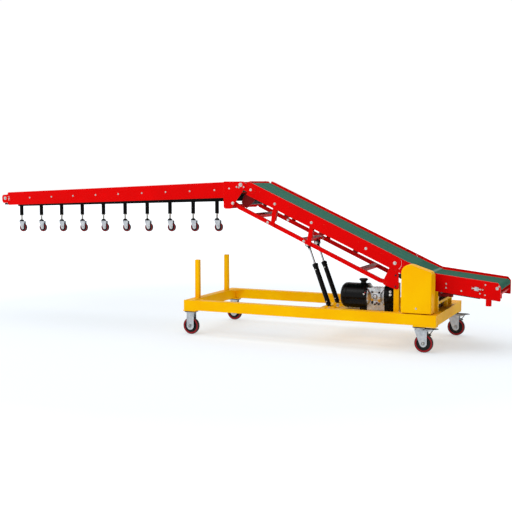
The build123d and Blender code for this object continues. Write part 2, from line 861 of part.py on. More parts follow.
def incline_plates():
    half = incline_depth / 2
    outline = make_face(Polyline(incline_point(incline_start, half), incline_point(incline_length, half),
                                 incline_point(incline_length, -half), incline_point(incline_start, -half), close=True))
    outline = outline + Pos(pivot_x, pivot_height) * Circle(half)
    cuts = []
    for s0, s1 in ((0, incline_start + flange_cut), (incline_length - 2 * flange_cut, incline_length + 2 * half)):
        n = 2 * half
        cuts.append(make_face(Polyline(incline_point(s0, n), incline_point(s1, n), incline_point(s1, -n),
                                       incline_point(s0, -n), close=True)))
    plate = pan_plate(outline, half_width, cuts)
    link_y = half_width + plate_thickness / 2
    link = rounded_bar(incline_point(0, 0), incline_point(link_length, 0), 2 * link_radius, plate_thickness, link_y)
    bracket_inner = bracket_y - bracket_thickness / 2
    pivot_pin = cross_rod(pivot_x, pivot_height, pin_diameter, half_width - bracket_inner,
                          (half_width + bracket_inner) / 2)
    pin_end = boom_outside + plate_thickness
    hinge_pin = cross_rod(hinge_x, hinge_z, pin_diameter, pin_end - half_width, (pin_end + half_width) / 2)
    pins = []
    start = strut_y - strut_thickness / 2
    for s in strut_stations:
        x, z = incline_point(s, -strut_drop)
        pins.append(cross_rod(x, z, strut_pin_diameter, half_width - start, (half_width + start) / 2))
        collar = half_width - plate_thickness - strut_y - strut_thickness / 2 - side_gap
        pins.append(cross_rod(x, z, strut_width, collar, half_width - plate_thickness - collar / 2))
    return Compound(both_sides(joined([plate, link, pivot_pin, hinge_pin] + pins)))


def incline_bends():
    first = incline_point(incline_roller_start, 0)
    last = incline_point(incline_roller_end, 0)
    return [(*first, roller_radius), (*last, roller_radius)]


def incline_belt():
    return belt_loop(incline_bends())


def incline_rollers():
    """The end rollers, the return idlers and the drum under the crest."""
    rollers = []
    for x, z, radius in incline_bends():
        rollers.append(roller(x, z, 2 * radius, belt_width, web_inside))
    for s in idler_stations:
        x, z = incline_point(s, -roller_radius - belt_thickness - idler_diameter / 2)
        rollers.append(roller(x, z, idler_diameter, belt_width, hanger_y - hanger_thickness / 2 - side_gap))
    x, z = incline_point(snub_station, -snub_fall)
    snub_reach = snub_y - hanger_thickness / 2 - side_gap
    rollers.append(roller(x, z, snub_diameter, 2 * (snub_reach - hanger_thickness), snub_reach))
    return Compound(rollers)


def hanger(s, y):
    """A plate beside the belt that hangs a return idler from a cross tube."""
    low = -roller_radius - belt_thickness - idler_diameter / 2
    top = roller_radius - bed_thickness - cross_tube / 2
    half = hanger_width / 2
    upper = make_face(Polyline(incline_point(s - half, top), incline_point(s + half, top),
                               incline_point(s + half, low / 2), incline_point(s - half, low / 2), close=True))
    return side_face(hull_of([upper, Pos(*incline_point(s, low)) * Circle(idler_diameter / 2)]), hanger_thickness, y)


def snub_frame():
    """The two plates under the crest that hold its drum, on a plate across the side plates' lower flanges."""
    outline = make_face(Polyline(*[incline_point(s, -depth) for s, depth in snub_outline], close=True))
    plates = both_sides(side_face(outline, hanger_thickness, snub_y))
    s0, s1 = snub_plate_x
    top = -incline_depth / 2 - side_gap
    x, z = incline_point((s0 + s1) / 2, top - snub_plate_thickness / 2)
    across = lying(x, z, incline_slope) * Box(s1 - s0, 2 * half_width, snub_plate_thickness)
    return joined(plates + [across])


def incline_bed():
    s0 = incline_roller_start + bed_clearance
    s1 = incline_roller_end - bed_clearance
    x, z = incline_point((s0 + s1) / 2, roller_radius - side_gap - bed_thickness / 2)
    sheet = lying(x, z, incline_slope) * Box(s1 - s0, belt_width, bed_thickness)
    parts = [sheet]
    for s in incline_cross_stations:
        x, z = incline_point(s, roller_radius - side_gap - bed_thickness - cross_tube / 2)
        parts.append(lying(x, z, incline_slope) * Box(cross_tube, 2 * web_inside, cross_tube))
    for s in idler_stations:
        parts += [hanger(s, y) for y in (-hanger_y, hanger_y)]
    return Compound([joined(parts), snub_frame()])


# Lift arms, struts and cylinders


def lift_arms():
    low_bend = arm_point(incline_length - arm_bend, -arm_sag)
    corners = [arm_high, arm_point(arm_bend, -arm_sag), low_bend, arm_low]
    bar = joined([rounded_bar(*pair, arm_height, arm_thickness, arm_y) for pair in zip(corners, corners[1:])])
    out = boom_outside + plate_thickness - arm_y
    pins = [cross_rod(*arm_high, pin_diameter, out, arm_y + out / 2)]
    low_out = bracket_y + bracket_thickness / 2 - arm_y
    pins.append(cross_rod(*arm_low, pin_diameter, low_out, arm_y + low_out / 2))
    strut_out = strut_y + strut_thickness / 2 - arm_y
    for s in strut_stations:
        pins.append(cross_rod(*arm_point(s, -strut_drop), strut_pin_diameter, strut_out, arm_y + strut_out / 2))
    parts = both_sides(joined([bar] + pins))
    for s in (arm_cross_stations[0], lug_station, arm_cross_stations[1]):
        x, z = arm_point(s, -arm_sag)
        parts.append(lying(x, z, incline_slope) * Box(arm_cross_width, arm_spacing, arm_height - arm_cross_step))
    return joined(parts + head_lugs())


def head_lugs():
    """The pairs of plates on the middle cross tube that hold the rods' eyes, with their pin heads."""
    lugs = []
    half_gap = head_eye_width / 2 + lug_gap
    cross = Pos(*arm_point(lug_station, -arm_sag)) * Rot(0, 0, -incline_slope) * Rectangle(arm_cross_width, arm_height / 2)
    cheek = hull_of([cross, Pos(cylinder_head_x, cylinder_head_z) * Circle(lug_width / 2)])
    for y in (-cylinder_spacing / 2, cylinder_spacing / 2):
        for side in (-1, 1):
            lugs.append(side_face(cheek, lug_thickness, y + side * (half_gap + lug_thickness / 2)))
            lugs.append(cross_rod(cylinder_head_x, cylinder_head_z, head_pin_diameter, head_pin_length,
                                  y + side * (half_gap + lug_thickness + head_pin_length / 2)))
    return lugs


def struts(s):
    ends = (arm_point(s, -strut_drop), incline_point(s, -strut_drop))
    bar = rounded_bar(*ends, strut_width, strut_thickness, strut_y)
    for x, z in ends:
        bar = bar - cross_rod(x, z, strut_pin_diameter + 2 * pin_clearance, 2 * strut_thickness, strut_y)
    return Compound(both_sides(bar))


cylinder_angle = math.degrees(math.atan2(cylinder_head_z - cylinder_foot_z, cylinder_head_x - cylinder_foot_x))
cylinder_reach = math.hypot(cylinder_head_z - cylinder_foot_z, cylinder_head_x - cylinder_foot_x)


def on_cylinder(side):
    """A frame at a cylinder's foot whose local x points at its head."""
    return Pos(cylinder_foot_x, side * cylinder_spacing / 2, cylinder_foot_z) * Rot(0, -cylinder_angle, 0)


def rod_between(x0, x1, diameter):
    return long_rod(x0, x1, 0, 0, diameter)


def lift_barrel(side):
    tube = rod_between(barrel_start, barrel_length - gland_length, barrel_diameter)
    gland = rod_between(barrel_length - gland_length, barrel_length, gland_diameter)
    neck = rod_between(foot_eye_width / 4, barrel_start, foot_eye_width - 2 * lug_gap)
    bore = rod_between(barrel_length - rod_depth - rod_travel, barrel_length, rod_diameter + 2 * pin_clearance)
    eye = cross_rod(0, 0, foot_eye_width, foot_eye_width)
    hole = cross_rod(0, 0, pin_diameter + 2 * pin_clearance, 2 * foot_eye_width)
    return on_cylinder(side) * (tube + gland + neck + eye - bore - hole)


def lift_rod(side):
    rod = rod_between(barrel_length - rod_depth, cylinder_reach, rod_diameter)
    return on_cylinder(side) * (rod + cross_rod(cylinder_reach, 0, head_eye_diameter, head_eye_width))


# Boom


def boom_depth(s):
    share = (s - boom_start) / boom_length
    return boom_hinge_depth + (boom_nose_depth - boom_hinge_depth) * share


def boom_plates():
    first, last = boom_plate_start, boom_start + boom_length
    tip = last + nose_reach
    top = boom_point(last, boom_depth(last) / 2)
    low = boom_point(last, -boom_depth(last) / 2)
    nose = [boom_point(tip, nose_depth / 2), boom_point(tip, -nose_depth / 2)]
    start = [boom_point(first, boom_depth(first) / 2), boom_point(first, -boom_depth(first) / 2)]
    outline = make_face(Polyline(start[0], top, boom_point(last, nose_depth / 2), *nose,
                                 boom_point(last, -nose_depth / 2), low, start[1], close=True))
    outline = rounded(outline, [(*top, boom_corner / 2), (*low, boom_corner / 2), (*nose[0], boom_corner),
                                (*nose[1], boom_corner)])
    reach = boom_hinge_depth
    cut = make_face(Polyline(boom_point(0, reach), boom_point(first + flange_cut, reach),
                             boom_point(first + flange_cut, -reach), boom_point(0, -reach), close=True))
    return Compound(both_sides(pan_plate(outline, boom_outside, [cut])))


def boom_gussets():
    top = hinge_z + gusset_top
    left = hinge_x - boom_start
    right = hinge_x + gusset_lead
    toe_x = arm_high[0] - gusset_toe_back
    low = arm_high[1] - gusset_toe_drop
    outline = make_face(Polyline((left, top), (right, top), (right, hinge_z - gusset_lead_drop), (toe_x, low),
                                 (left, low), close=True))
    outline = rounded(outline, [(left, top, gusset_round / 2), (right, top, gusset_round),
                                (right, hinge_z - gusset_lead_drop, gusset_round), (toe_x, low, gusset_round),
                                (left, low, gusset_round)])
    plate = side_face(outline, plate_thickness, boom_outside + plate_thickness / 2)
    for x, z in ((hinge_x, hinge_z), arm_high):
        plate = plate - cross_rod(x, z, pin_diameter + 2 * pin_clearance, 4 * plate_thickness, boom_outside)
    tube = Pos(left + toe_tube_inset, 0, low + toe_tube_rise) * Box(toe_tube, 2 * boom_outside, toe_tube)
    return joined(both_sides(plate) + [tube])


def boom_bends():
    start = boom_point(boom_roller_start, boom_depth(boom_roller_start) / 2 - belt_drop - belt_thickness - roller_radius)
    end = boom_start + boom_length + nose_reach - belt_thickness - roller_radius
    return [(*start, roller_radius), (*boom_point(end, nose_roller_rise), roller_radius)]


def boom_belt():
    return belt_loop(boom_bends())


def boom_rollers():
    first, last = boom_bends()
    return Compound([roller(first[0], first[1], roller_diameter, belt_width, boom_outside),
                     roller(last[0], last[1], roller_diameter, belt_width, boom_inside)])


def boom_bed():
    first, last = boom_bends()
    angle = -math.degrees(math.atan2(last[1] - first[1], last[0] - first[0]))
    length = math.hypot(last[0] - first[0], last[1] - first[1])
    frame = lying(first[0], first[1], angle)
    under = roller_radius - side_gap - bed_thickness
    sheet = frame * Pos(length / 2, 0, -under - bed_thickness / 2)
    parts = [sheet * Box(length - 2 * bed_clearance, belt_width, bed_thickness)]
    for index in range(leg_count):
        x = boom_cross_first + index * boom_cross_pitch
        parts.append(frame * Pos(x, 0, cross_tube / 2 - under) * Box(cross_tube, 2 * boom_inside, cross_tube))
    return joined(parts)


def spine_bottom(x):
    return spine_base_z - (leg_first_x - x) * math.tan(math.radians(spine_slope))


def spine_ends():
    return leg_first_x - (leg_count - 1) * leg_pitch - spine_overhang, hinge_x - spine_gap


def spine_top(x):
    x0, x1 = spine_ends()
    rise = spine_nose_height + (spine_height - spine_nose_height) * (x - x0) / (x1 - x0)
    return spine_bottom(x) + rise


def boom_spine():
    """The tapered beam under the boom with the carriers that hang it from the side plates."""
    x0, x1 = spine_ends()
    spine = side_plate([(x0, spine_bottom(x0)), (x1, spine_bottom(x1)), (x1, spine_top(x1)), (x0, spine_top(x0))],
                       spine_width, 0)
    parts = [spine]
    for index in range(carrier_count):
        x = x0 + carrier_inset + index * (x1 - x0 - 2 * carrier_inset) / (carrier_count - 1)
        z = spine_top(x) + carrier_height / 2 - carrier_sink
        parts.append(Pos(x, 0, z) * Box(carrier_width, 2 * boom_inside, carrier_height))
    return joined(parts)


def leg_place(index):
    """The swivel axis station and the axle height of a hanging caster, counted from the hinge."""
    x = leg_first_x - index * leg_pitch
    return x, leg_axle_z - index * leg_pitch * math.tan(math.radians(leg_line_slope))


def boom_legs():
    """The tubes under the spine with the casters' threaded stems, their nuts and the swivels' spigots."""
    legs = []
    for index in range(leg_count):
        x, z = leg_place(index)
        half = leg_tube_diameter / 2
        top = min(spine_bottom(x - half), spine_bottom(x + half))
        head = z + leg_axle_drop
        tube_end = head + leg_stem_length
        parts = [upright(x, 0, tube_end, top, leg_tube_diameter)]
        parts.append(upright(x, 0, tube_end - leg_nut_height, tube_end, leg_nut_diameter))
        parts.append(upright(x, 0, head + swivel_gap, tube_end, leg_stem_diameter))
        parts.append(upright(x, 0, head - leg_spigot_length, tube_end, leg_spigot_diameter))
        legs.append(joined(parts))
    return Compound(legs)


def leg_fork(index):
    x, z = leg_place(index)
    axle_x = x + leg_trail
    top = z + leg_axle_drop
    low = top - leg_head_height
    size = {"axle_z": z, "gap": leg_fork_gap, "wall": leg_fork_wall, "foot": leg_fork_foot,
            "axle": leg_axle_diameter, "nut": leg_fork_wall, "nut_diameter": 2 * leg_axle_diameter}
    body = fork(axle_x, 0, low, size, (x - leg_crown_reach, axle_x + leg_fork_foot))
    flare = Pos(x, 0, (top + low) / 2) * Cone(leg_head_diameter / 2, leg_head_top / 2, top - low)
    bore = upright(x, 0, top - leg_spigot_length - swivel_gap, top, leg_spigot_diameter + 2 * pin_clearance)
    return joined([body, flare]) - bore


def leg_wheel(index):
    x, z = leg_place(index)
    size = {"diameter": leg_wheel_diameter, "width": leg_wheel_width, "hub": leg_hub_diameter,
            "axle": leg_axle_diameter}
    return wheel(x + leg_trail, z, 0, size)


# Export

save("base_frame", base_frame())
save("stop_posts", stop_posts())
save("pivot_posts", pivot_posts())
save("pivot_brackets", pivot_brackets())
save("drive_guard", drive_guard())
save("gear_motor", gear_motor())
save("tail_plates", tail_plates())
save("tail_belt", tail_belt())
save("tail_rollers", tail_rollers())
save("return_cover", return_cover())
save("hydraulic_tank", hydraulic_tank())
save("filler_cap", filler_cap())
save("pump_block", pump_block())
save("pump_motor", pump_motor())
save("caster_plates", caster_plates())
save("rigid_forks", rigid_forks())
for name, side, x in (("near", -1, near_swivel_x), ("far", 1, far_swivel_x)):
    save("swivel_fork_" + name, swivel_fork(x, side * caster_y))
    save("swivel_wheel_" + name, floor_wheel(x + floor_trail, side * caster_y))
    save("rigid_wheel_" + name, floor_wheel(rigid_caster_x, side * caster_y))
    save("lift_barrel_" + name, lift_barrel(side))
    save("lift_rod_" + name, lift_rod(side))
save("incline_plates", incline_plates())
save("incline_belt", incline_belt())
save("incline_rollers", incline_rollers())
save("incline_bed", incline_bed())
save("lift_arms", lift_arms())
save("upper_struts", struts(strut_stations[0]))
save("lower_struts", struts(strut_stations[1]))
save("boom_plates", boom_plates())
save("boom_gussets", boom_gussets())
save("boom_belt", boom_belt())
save("boom_rollers", boom_rollers())
save("boom_bed", boom_bed())
save("boom_spine", boom_spine())
save("boom_legs", boom_legs())
for index in range(leg_count):
    save("leg_fork_%02d" % (index + 1), leg_fork(index))
    save("leg_wheel_%02d" % (index + 1), leg_wheel(index))
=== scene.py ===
import math
import bmesh
import bpy
from mathutils import Matrix, Vector, noise


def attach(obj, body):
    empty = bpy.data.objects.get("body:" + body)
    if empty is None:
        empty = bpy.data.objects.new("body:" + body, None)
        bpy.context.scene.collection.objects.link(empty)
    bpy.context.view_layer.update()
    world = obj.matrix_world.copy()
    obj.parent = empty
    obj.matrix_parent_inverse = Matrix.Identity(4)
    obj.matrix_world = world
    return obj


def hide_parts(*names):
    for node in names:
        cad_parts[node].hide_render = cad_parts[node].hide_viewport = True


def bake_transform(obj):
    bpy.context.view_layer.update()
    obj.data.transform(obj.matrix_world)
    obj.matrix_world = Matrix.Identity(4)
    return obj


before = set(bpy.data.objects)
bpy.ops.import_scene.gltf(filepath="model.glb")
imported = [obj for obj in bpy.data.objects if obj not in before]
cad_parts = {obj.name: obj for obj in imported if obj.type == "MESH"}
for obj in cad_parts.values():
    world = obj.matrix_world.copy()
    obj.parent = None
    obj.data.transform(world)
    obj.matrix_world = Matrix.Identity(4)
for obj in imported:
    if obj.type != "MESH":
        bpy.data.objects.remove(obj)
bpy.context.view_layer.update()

print("stage 1: packed model loaded,", len(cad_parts), "nodes")

# Stations are in millimetres as on the drawing: x from the base frame's left end, y across, z up
drawing = {"middleX": 346.6934, "pivot": (2443.0, 908.0), "inclineLength": 2026.0, "inclineSlope": 24.5,
           "inclineHalf": 75.0, "boomDroop": 2.4, "boomMidDrop": 52.0, "boomFirst": 219.0,
           "boomLength": 3165.0, "boomHalf": 92.0, "boomTaper": 9.0, "tailSlope": 6.4, "kinkX": 2808.0,
           "foldX": 2804.0, "sideY": 353.0, "boomSideY": 358.3, "gussetY": 363.3, "armShift": (100.0, 214.0),
           "armInnerY": 293.5, "armSag": 18.0, "strutStations": (479.0, 970.0), "strutDrop": 20.0}
slope = math.radians(drawing["inclineSlope"])
droop = math.radians(drawing["boomDroop"])
tailFall = math.radians(drawing["tailSlope"])
hinge = (drawing["pivot"][0] - drawing["inclineLength"] * math.cos(slope),
         drawing["pivot"][1] + drawing["inclineLength"] * math.sin(slope))
millimetres = Matrix.Scale(0.001, 4)
toMetres = millimetres @ Matrix.Translation((-drawing["middleX"], 0, 0))
bothSides = (-1, 1)


def framePoint(x, y, z):
    return toMetres @ Vector((x, y, z))


def inclinePoint(s, n):
    # s down the slope from the boom's hinge, n above the middle line
    return (hinge[0] + s * math.cos(slope) + n * math.sin(slope),
            hinge[1] - s * math.sin(slope) + n * math.cos(slope))


def boomPoint(s, n):
    # s along the boom from the hinge, n above its middle line
    return (hinge[0] - s * math.cos(droop) - n * math.sin(droop),
            hinge[1] - drawing["boomMidDrop"] - s * math.sin(droop) + n * math.cos(droop))


def armPoint(s, n=0.0):
    # along the lift arms, n above the line of their pins
    x, z = inclinePoint(s, n)
    return x - drawing["armShift"][0], z - drawing["armShift"][1]


def tailPoint(x, depth):
    # depth below the top edge of the feed section's plates
    topX, topZ = inclinePoint(drawing["inclineLength"], drawing["inclineHalf"])
    kinkZ = topZ - (drawing["kinkX"] - topX) * math.tan(slope)
    return x, kinkZ - (x - drawing["kinkX"]) * math.tan(tailFall) - depth


# The camera has the photograph's standpoint and lens
cameraSet = {"place": (4.710, -9.828, 1.837), "turn": 24.23, "pitch": -5.01, "lens": 63.28, "sensor": 36.0}
cameraData = bpy.data.cameras.new("photoCamera")
cameraData.lens = cameraSet["lens"]
cameraData.sensor_width = cameraSet["sensor"]
cameraObject = bpy.data.objects.new("photoCamera", cameraData)
bpy.context.scene.collection.objects.link(cameraObject)
cameraObject.location = cameraSet["place"]
cameraObject.rotation_euler = (math.radians(90 + cameraSet["pitch"]), 0, math.radians(cameraSet["turn"]))
bpy.context.scene.camera = cameraObject


def hexColour(text):
    # sRGB hex to the linear values that shader sockets take
    parts = [int(text[i:i + 2], 16) / 255 for i in (1, 3, 5)]
    return tuple(c / 12.92 if c <= 0.04045 else ((c + 0.055) / 1.055) ** 2.4 for c in parts) + (1.0,)


def addNode(tree, kind, settings=None, links=None):
    # a link's source is a socket, or a node that gives its first output
    node = tree.nodes.new(kind)
    for key, value in (settings or {}).items():
        if isinstance(key, str) and key[0].islower():
            setattr(node, key, value)
        else:
            node.inputs[key].default_value = value
    for key, source in (links or {}).items():
        tree.links.new(source.outputs[0] if hasattr(source, "outputs") else source, node.inputs[key])
    return node


def newMaterial(name, settings):
    material = bpy.data.materials.new(name)
    material.use_nodes = True
    tree = material.node_tree
    tree.nodes.clear()
    shader = addNode(tree, "ShaderNodeBsdfPrincipled", settings)
    addNode(tree, "ShaderNodeOutputMaterial", None, {"Surface": shader})
    where = addNode(tree, "ShaderNodeTexCoord").outputs["Object"]
    return material, tree, shader, where


def span(band, share=(0.0, 1.0)):
    # map range settings that spread a band of values over share
    return {"From Min": band[0], "From Max": band[1], "To Min": share[0], "To Max": share[1]}


def tint(tree, colour, over, source, band=None, share=(0.0, 1.0)):
    # moves a colour towards the hex colour over, by as much as source tells
    if band:
        source = addNode(tree, "ShaderNodeMapRange", span(band, share), {"Value": source})
    mix = addNode(tree, "ShaderNodeMix", {"data_type": "RGBA", 7: hexColour(over)}, {0: source})
    if isinstance(colour, str):
        mix.inputs[6].default_value = hexColour(colour)
    else:
        tree.links.new(colour, mix.inputs[6])
    return mix.outputs[2]


def edgeMask(tree, radius, sharp):
    # 1 along rounded-over edges, where a finish thins and rubs first and where a painted highlight is laid, 0
    # on flats
    soft = addNode(tree, "ShaderNodeBevel", {"samples": 4, "Radius": radius})
    flat = addNode(tree, "ShaderNodeNewGeometry").outputs["Normal"]
    dot = addNode(tree, "ShaderNodeVectorMath", {"operation": "DOT_PRODUCT"}, {0: soft, 1: flat})
    edgeWearAndHighlight = addNode(tree, "ShaderNodeMapRange", span((sharp, 0.999), (1.0, 0.0)),
                   {"Value": dot.outputs["Value"]})
    return edgeWearAndHighlight, soft


def finishShader(tree, shader, colour, rough, relief, soft=None):
    # the links that every finish ends with; soft rounds the edges under the relief
    if soft:
        tree.links.new(soft.outputs[0], relief.inputs["Normal"])
    tree.links.new(colour, shader.inputs["Base Color"])
    tree.links.new(rough.outputs[0], shader.inputs["Roughness"])
    tree.links.new(relief.outputs[0], shader.inputs["Normal"])


def enamel(name, look):
    # Two-pack machine enamel sprayed on steel: an even, saturated gloss film with faint orange peel,
    # a light haze on what faces up that is partly settled dust and partly a painted highlight, and rounded
    # edges lightened as wear and as a painted highlight. Dielectric, IOR 1.5
    material, tree, shader, where = newMaterial(name, {
        "Metallic": 0.0, "IOR": 1.5, "Specular IOR Level": look["specular"]})
    # 350 mm drifts in film thickness, 30 mm rubbed specks, and peel of 2 mm in life, drawn at 12 mm to show
    cloud = addNode(tree, "ShaderNodeTexNoise", {"Scale": 1 / 0.35, "Detail": 3.0, "Roughness": 0.55},
                    {"Vector": where})
    speck = addNode(tree, "ShaderNodeTexNoise", {"Scale": 1 / 0.03, "Detail": 6.0, "Roughness": 0.7},
                    {"Vector": where})
    peel = addNode(tree, "ShaderNodeTexNoise", {"Scale": 1 / 0.012, "Detail": 2.0}, {"Vector": where})
    edgeWearAndHighlight, soft = edgeMask(tree, 0.004, 0.90)
    edgePatchiness = addNode(tree, "ShaderNodeMapRange", span((0.4, 0.6), (0.25, 0.75)), {"Value": speck})
    edgeRubAndHighlight = addNode(tree, "ShaderNodeMath", {"operation": "MULTIPLY"}, {0: edgeWearAndHighlight, 1: edgePatchiness})
    up = addNode(tree, "ShaderNodeSeparateXYZ", None,
                 {0: addNode(tree, "ShaderNodeNewGeometry").outputs["Normal"]}).outputs[2]
    facesUp = addNode(tree, "ShaderNodeMapRange", span((0.6, 1.0), (0.0, look["dustAndTopHighlight"])), {"Value": up})
    patchy = addNode(tree, "ShaderNodeMapRange", span((0.35, 0.7), (0.3, 1.0)), {"Value": speck})
    dustAndTopHighlight = addNode(tree, "ShaderNodeMath", {"operation": "MULTIPLY"}, {0: facesUp, 1: patchy})
    colour = tint(tree, look["deep"], look["main"], cloud, (0.35, 0.65))
    # rounded edges lightened: partly rubbed wear, partly a painted highlight
    colour = tint(tree, colour, look["edgeWearAndHighlightTint"], edgeRubAndHighlight)
    # what faces up is lightened towards pale grey: partly settled dust, partly a painted highlight on tops
    # and flanges
    colour = tint(tree, colour, "#C9C4B8", dustAndTopHighlight)
    gloss = (look["rough"] - 0.05, look["rough"] + 0.07)
    rough = addNode(tree, "ShaderNodeMapRange", span((0.3, 0.7), gloss), {"Value": speck})
    relief = addNode(tree, "ShaderNodeBump", {"Strength": 0.05, "Distance": 0.0006}, {"Height": peel})
    finishShader(tree, shader, colour, rough, relief, soft)
    return material


def bareMetal(name, look):
    # Metals keep the default IOR: the base colour carries the reflectance
    material, tree, shader, where = newMaterial(name, {"Metallic": 1.0})
    stretch = addNode(tree, "ShaderNodeMapping", {"Scale": look["grain"]}, {"Vector": where})
    grain = addNode(tree, "ShaderNodeTexNoise", {"Scale": 1.0, "Detail": 4.0, "Roughness": 0.6},
                    {"Vector": stretch})
    stain = addNode(tree, "ShaderNodeTexNoise", {"Scale": 1 / 0.05, "Detail": 5.0, "Roughness": 0.65},
                    {"Vector": where})                        # 50 mm drifts of handling film
    edgeWearAndHighlight, soft = edgeMask(tree, 0.0015, 0.92)
    colour = tint(tree, look["deep"], look["main"], stain, (0.35, 0.65))
    # rounded edges lightened: partly rubbed wear, partly a painted highlight
    colour = tint(tree, colour, look["edgeWearAndHighlightTint"], edgeWearAndHighlight, (0.0, 1.0), (0.0, 0.5))
    rough = addNode(tree, "ShaderNodeMapRange", span((0.3, 0.7), look["rough"]), {"Value": grain})
    relief = addNode(tree, "ShaderNodeBump", {"Strength": look["bump"], "Distance": 0.0004},
                     {"Height": grain})
    finishShader(tree, shader, colour, rough, relief, soft)
    return material


def mouldedPlastic(name, look):
    # Moulded rubber or plastic: fine spark-eroded tool grain, no metal, satin to dull
    material, tree, shader, where = newMaterial(name, {
        "Metallic": 0.0, "IOR": look["ior"], "Specular IOR Level": look["specular"]})
    grain = addNode(tree, "ShaderNodeTexVoronoi", {"Scale": 1 / look["grain"]}, {"Vector": where})
    scuff = addNode(tree, "ShaderNodeTexNoise", {"Scale": 1 / 0.02, "Detail": 6.0, "Roughness": 0.7},
                    {"Vector": where})                        # 20 mm scuffs
    edgeWearAndHighlight, soft = edgeMask(tree, 0.0015, 0.9)
    colour = tint(tree, look["deep"], look["main"], scuff, (0.35, 0.65))
    # rounded edges lightened: partly rubbed wear, partly a painted highlight
    colour = tint(tree, colour, look["edgeWearAndHighlightTint"], edgeWearAndHighlight, (0.0, 1.0), (0.0, 0.4))
    satin = (look["rough"] - 0.06, look["rough"] + 0.1)
    rough = addNode(tree, "ShaderNodeMapRange", span((0.3, 0.7), satin), {"Value": scuff})
    relief = addNode(tree, "ShaderNodeBump", {"Strength": 0.15, "Distance": 0.0004}, {"Height": grain})
    finishShader(tree, shader, colour, rough, relief, soft)
    return material


def conveyorBelt(name, look):
    # Two-ply PVC belt with a matt cover: the woven carcass telegraphs through as a fine grid,
    # the cut edges stay brighter where the cover is thinner, and a fold gets a paler band, a painted
    # highlight along the crease
    material, tree, shader, where = newMaterial(name, {
        "Metallic": 0.0, "IOR": 1.53, "Specular IOR Level": 0.02})
    split = addNode(tree, "ShaderNodeSeparateXYZ", None, {0: where})
    across = addNode(tree, "ShaderNodeMath", {"operation": "ABSOLUTE"}, {0: split.outputs[1]})
    tracks = addNode(tree, "ShaderNodeMapping", {"Scale": (0.8, 26.0, 0.8)}, {"Vector": where})
    streak = addNode(tree, "ShaderNodeTexNoise", {"Scale": 1.0, "Detail": 3.0},
                     {"Vector": tracks})                      # 40 mm tracks along the run
    mottle = addNode(tree, "ShaderNodeTexNoise", {"Scale": 1 / 0.06, "Detail": 5.0, "Roughness": 0.65},
                     {"Vector": where})                       # 60 mm patches of dust
    colour = tint(tree, look["deep"], look["main"], streak, (0.35, 0.65))
    colour = tint(tree, colour, look["dusty"], mottle, (0.45, 0.75), (0.0, 0.35))
    colour = tint(tree, colour, look["edge"], across, (0.272, 0.292))
    # a paler band across the belt at its fold: a painted highlight along the crease
    if "foldX" in look:
        toFold = addNode(tree, "ShaderNodeMath", {"operation": "SUBTRACT", 1: look["foldX"]},
                         {0: split.outputs[0]})
        far = addNode(tree, "ShaderNodeMath", {"operation": "ABSOLUTE"}, {0: toFold})
        colour = tint(tree, colour, look["foldHighlight"], far, (0.006, 0.022), (0.55, 0.0))
    # carcass threads 1 mm apart, drawn at about 8 mm to show
    warp, weft = [addNode(tree, "ShaderNodeTexWave", {"wave_type": "BANDS", "bands_direction": way,
                                                      "Scale": 1 / 0.05, "Distortion": 0.3},
                          {"Vector": where}).outputs["Fac"] for way in "YX"]
    grid = addNode(tree, "ShaderNodeMath", {"operation": "ADD"}, {0: warp, 1: weft})
    rough = addNode(tree, "ShaderNodeMapRange", span((0.3, 0.7), (0.6, 0.75)), {"Value": mottle})
    relief = addNode(tree, "ShaderNodeBump", {"Strength": 0.12, "Distance": 0.0005}, {"Height": grid})
    finishShader(tree, shader, colour, rough, relief)
    return material


redEnamel = enamel("redSprayedEnamel", {
    "main": "#E20000", "deep": "#D80000", "edgeWearAndHighlightTint": "#FF5340",
    "specular": 0.035, "rough": 0.34, "dustAndTopHighlight": 0.06})
yellowEnamel = enamel("yellowSprayedEnamel", {
    "main": "#FFC200", "deep": "#FCB700", "edgeWearAndHighlightTint": "#FFD54A",
    "specular": 0.025, "rough": 0.4, "dustAndTopHighlight": 0.03})
# a darker copy of the red enamel: painted shade for parts that sit in shade
redDarkenedAsShade = enamel("redEnamelPaintedShade", {
    "main": "#8A0508", "deep": "#6E0306", "edgeWearAndHighlightTint": "#A82020",
    "specular": 0.1, "rough": 0.42, "dustAndTopHighlight": 0.06})
blackEnamel = enamel("blackSprayedEnamel", {
    "main": "#050506", "deep": "#020203", "edgeWearAndHighlightTint": "#25282B",
    "specular": 0.14, "rough": 0.25, "dustAndTopHighlight": 0.005})
frameBlack = enamel("blackChassisPaint", {
    "main": "#070707", "deep": "#030303", "edgeWearAndHighlightTint": "#1C1E20",
    "specular": 0.08, "rough": 0.45, "dustAndTopHighlight": 0.0})
plateNavy = enamel("darkDippedPlatePaint", {
    "main": "#0A0E1E", "deep": "#05070C", "edgeWearAndHighlightTint": "#39406A",
    "specular": 0.3, "rough": 0.35, "dustAndTopHighlight": 0.0})
beltCover = conveyorBelt("greenPvcBelt", {
    "main": "#356F5E", "deep": "#2F6655", "dusty": "#457463", "edge": "#16735B"})
# The feed section's belt is darker in the photograph: a darker copy of the same belt, as painted shade, with
# a painted highlight where it folds over its kink
shadedBeltWithFoldHighlight = conveyorBelt("greenPvcBeltShadedFoldHighlight", {
    "main": "#2C6452", "deep": "#275B4A", "dusty": "#366A59", "edge": "#16735B", "foldHighlight": "#86A99A",
    "foldX": framePoint(drawing["foldX"], 0, 0).x})
# Bright zinc plating on pressed steel: cool grey, slightly clouded, soft highlight
zincPlate = bareMetal("brightZincPlatedSteel", {
    "main": "#C9CCCF", "deep": "#A9ADB2", "edgeWearAndHighlightTint": "#E8EAEC", "grain": (160, 160, 160),
    "rough": (0.34, 0.5), "bump": 0.06})
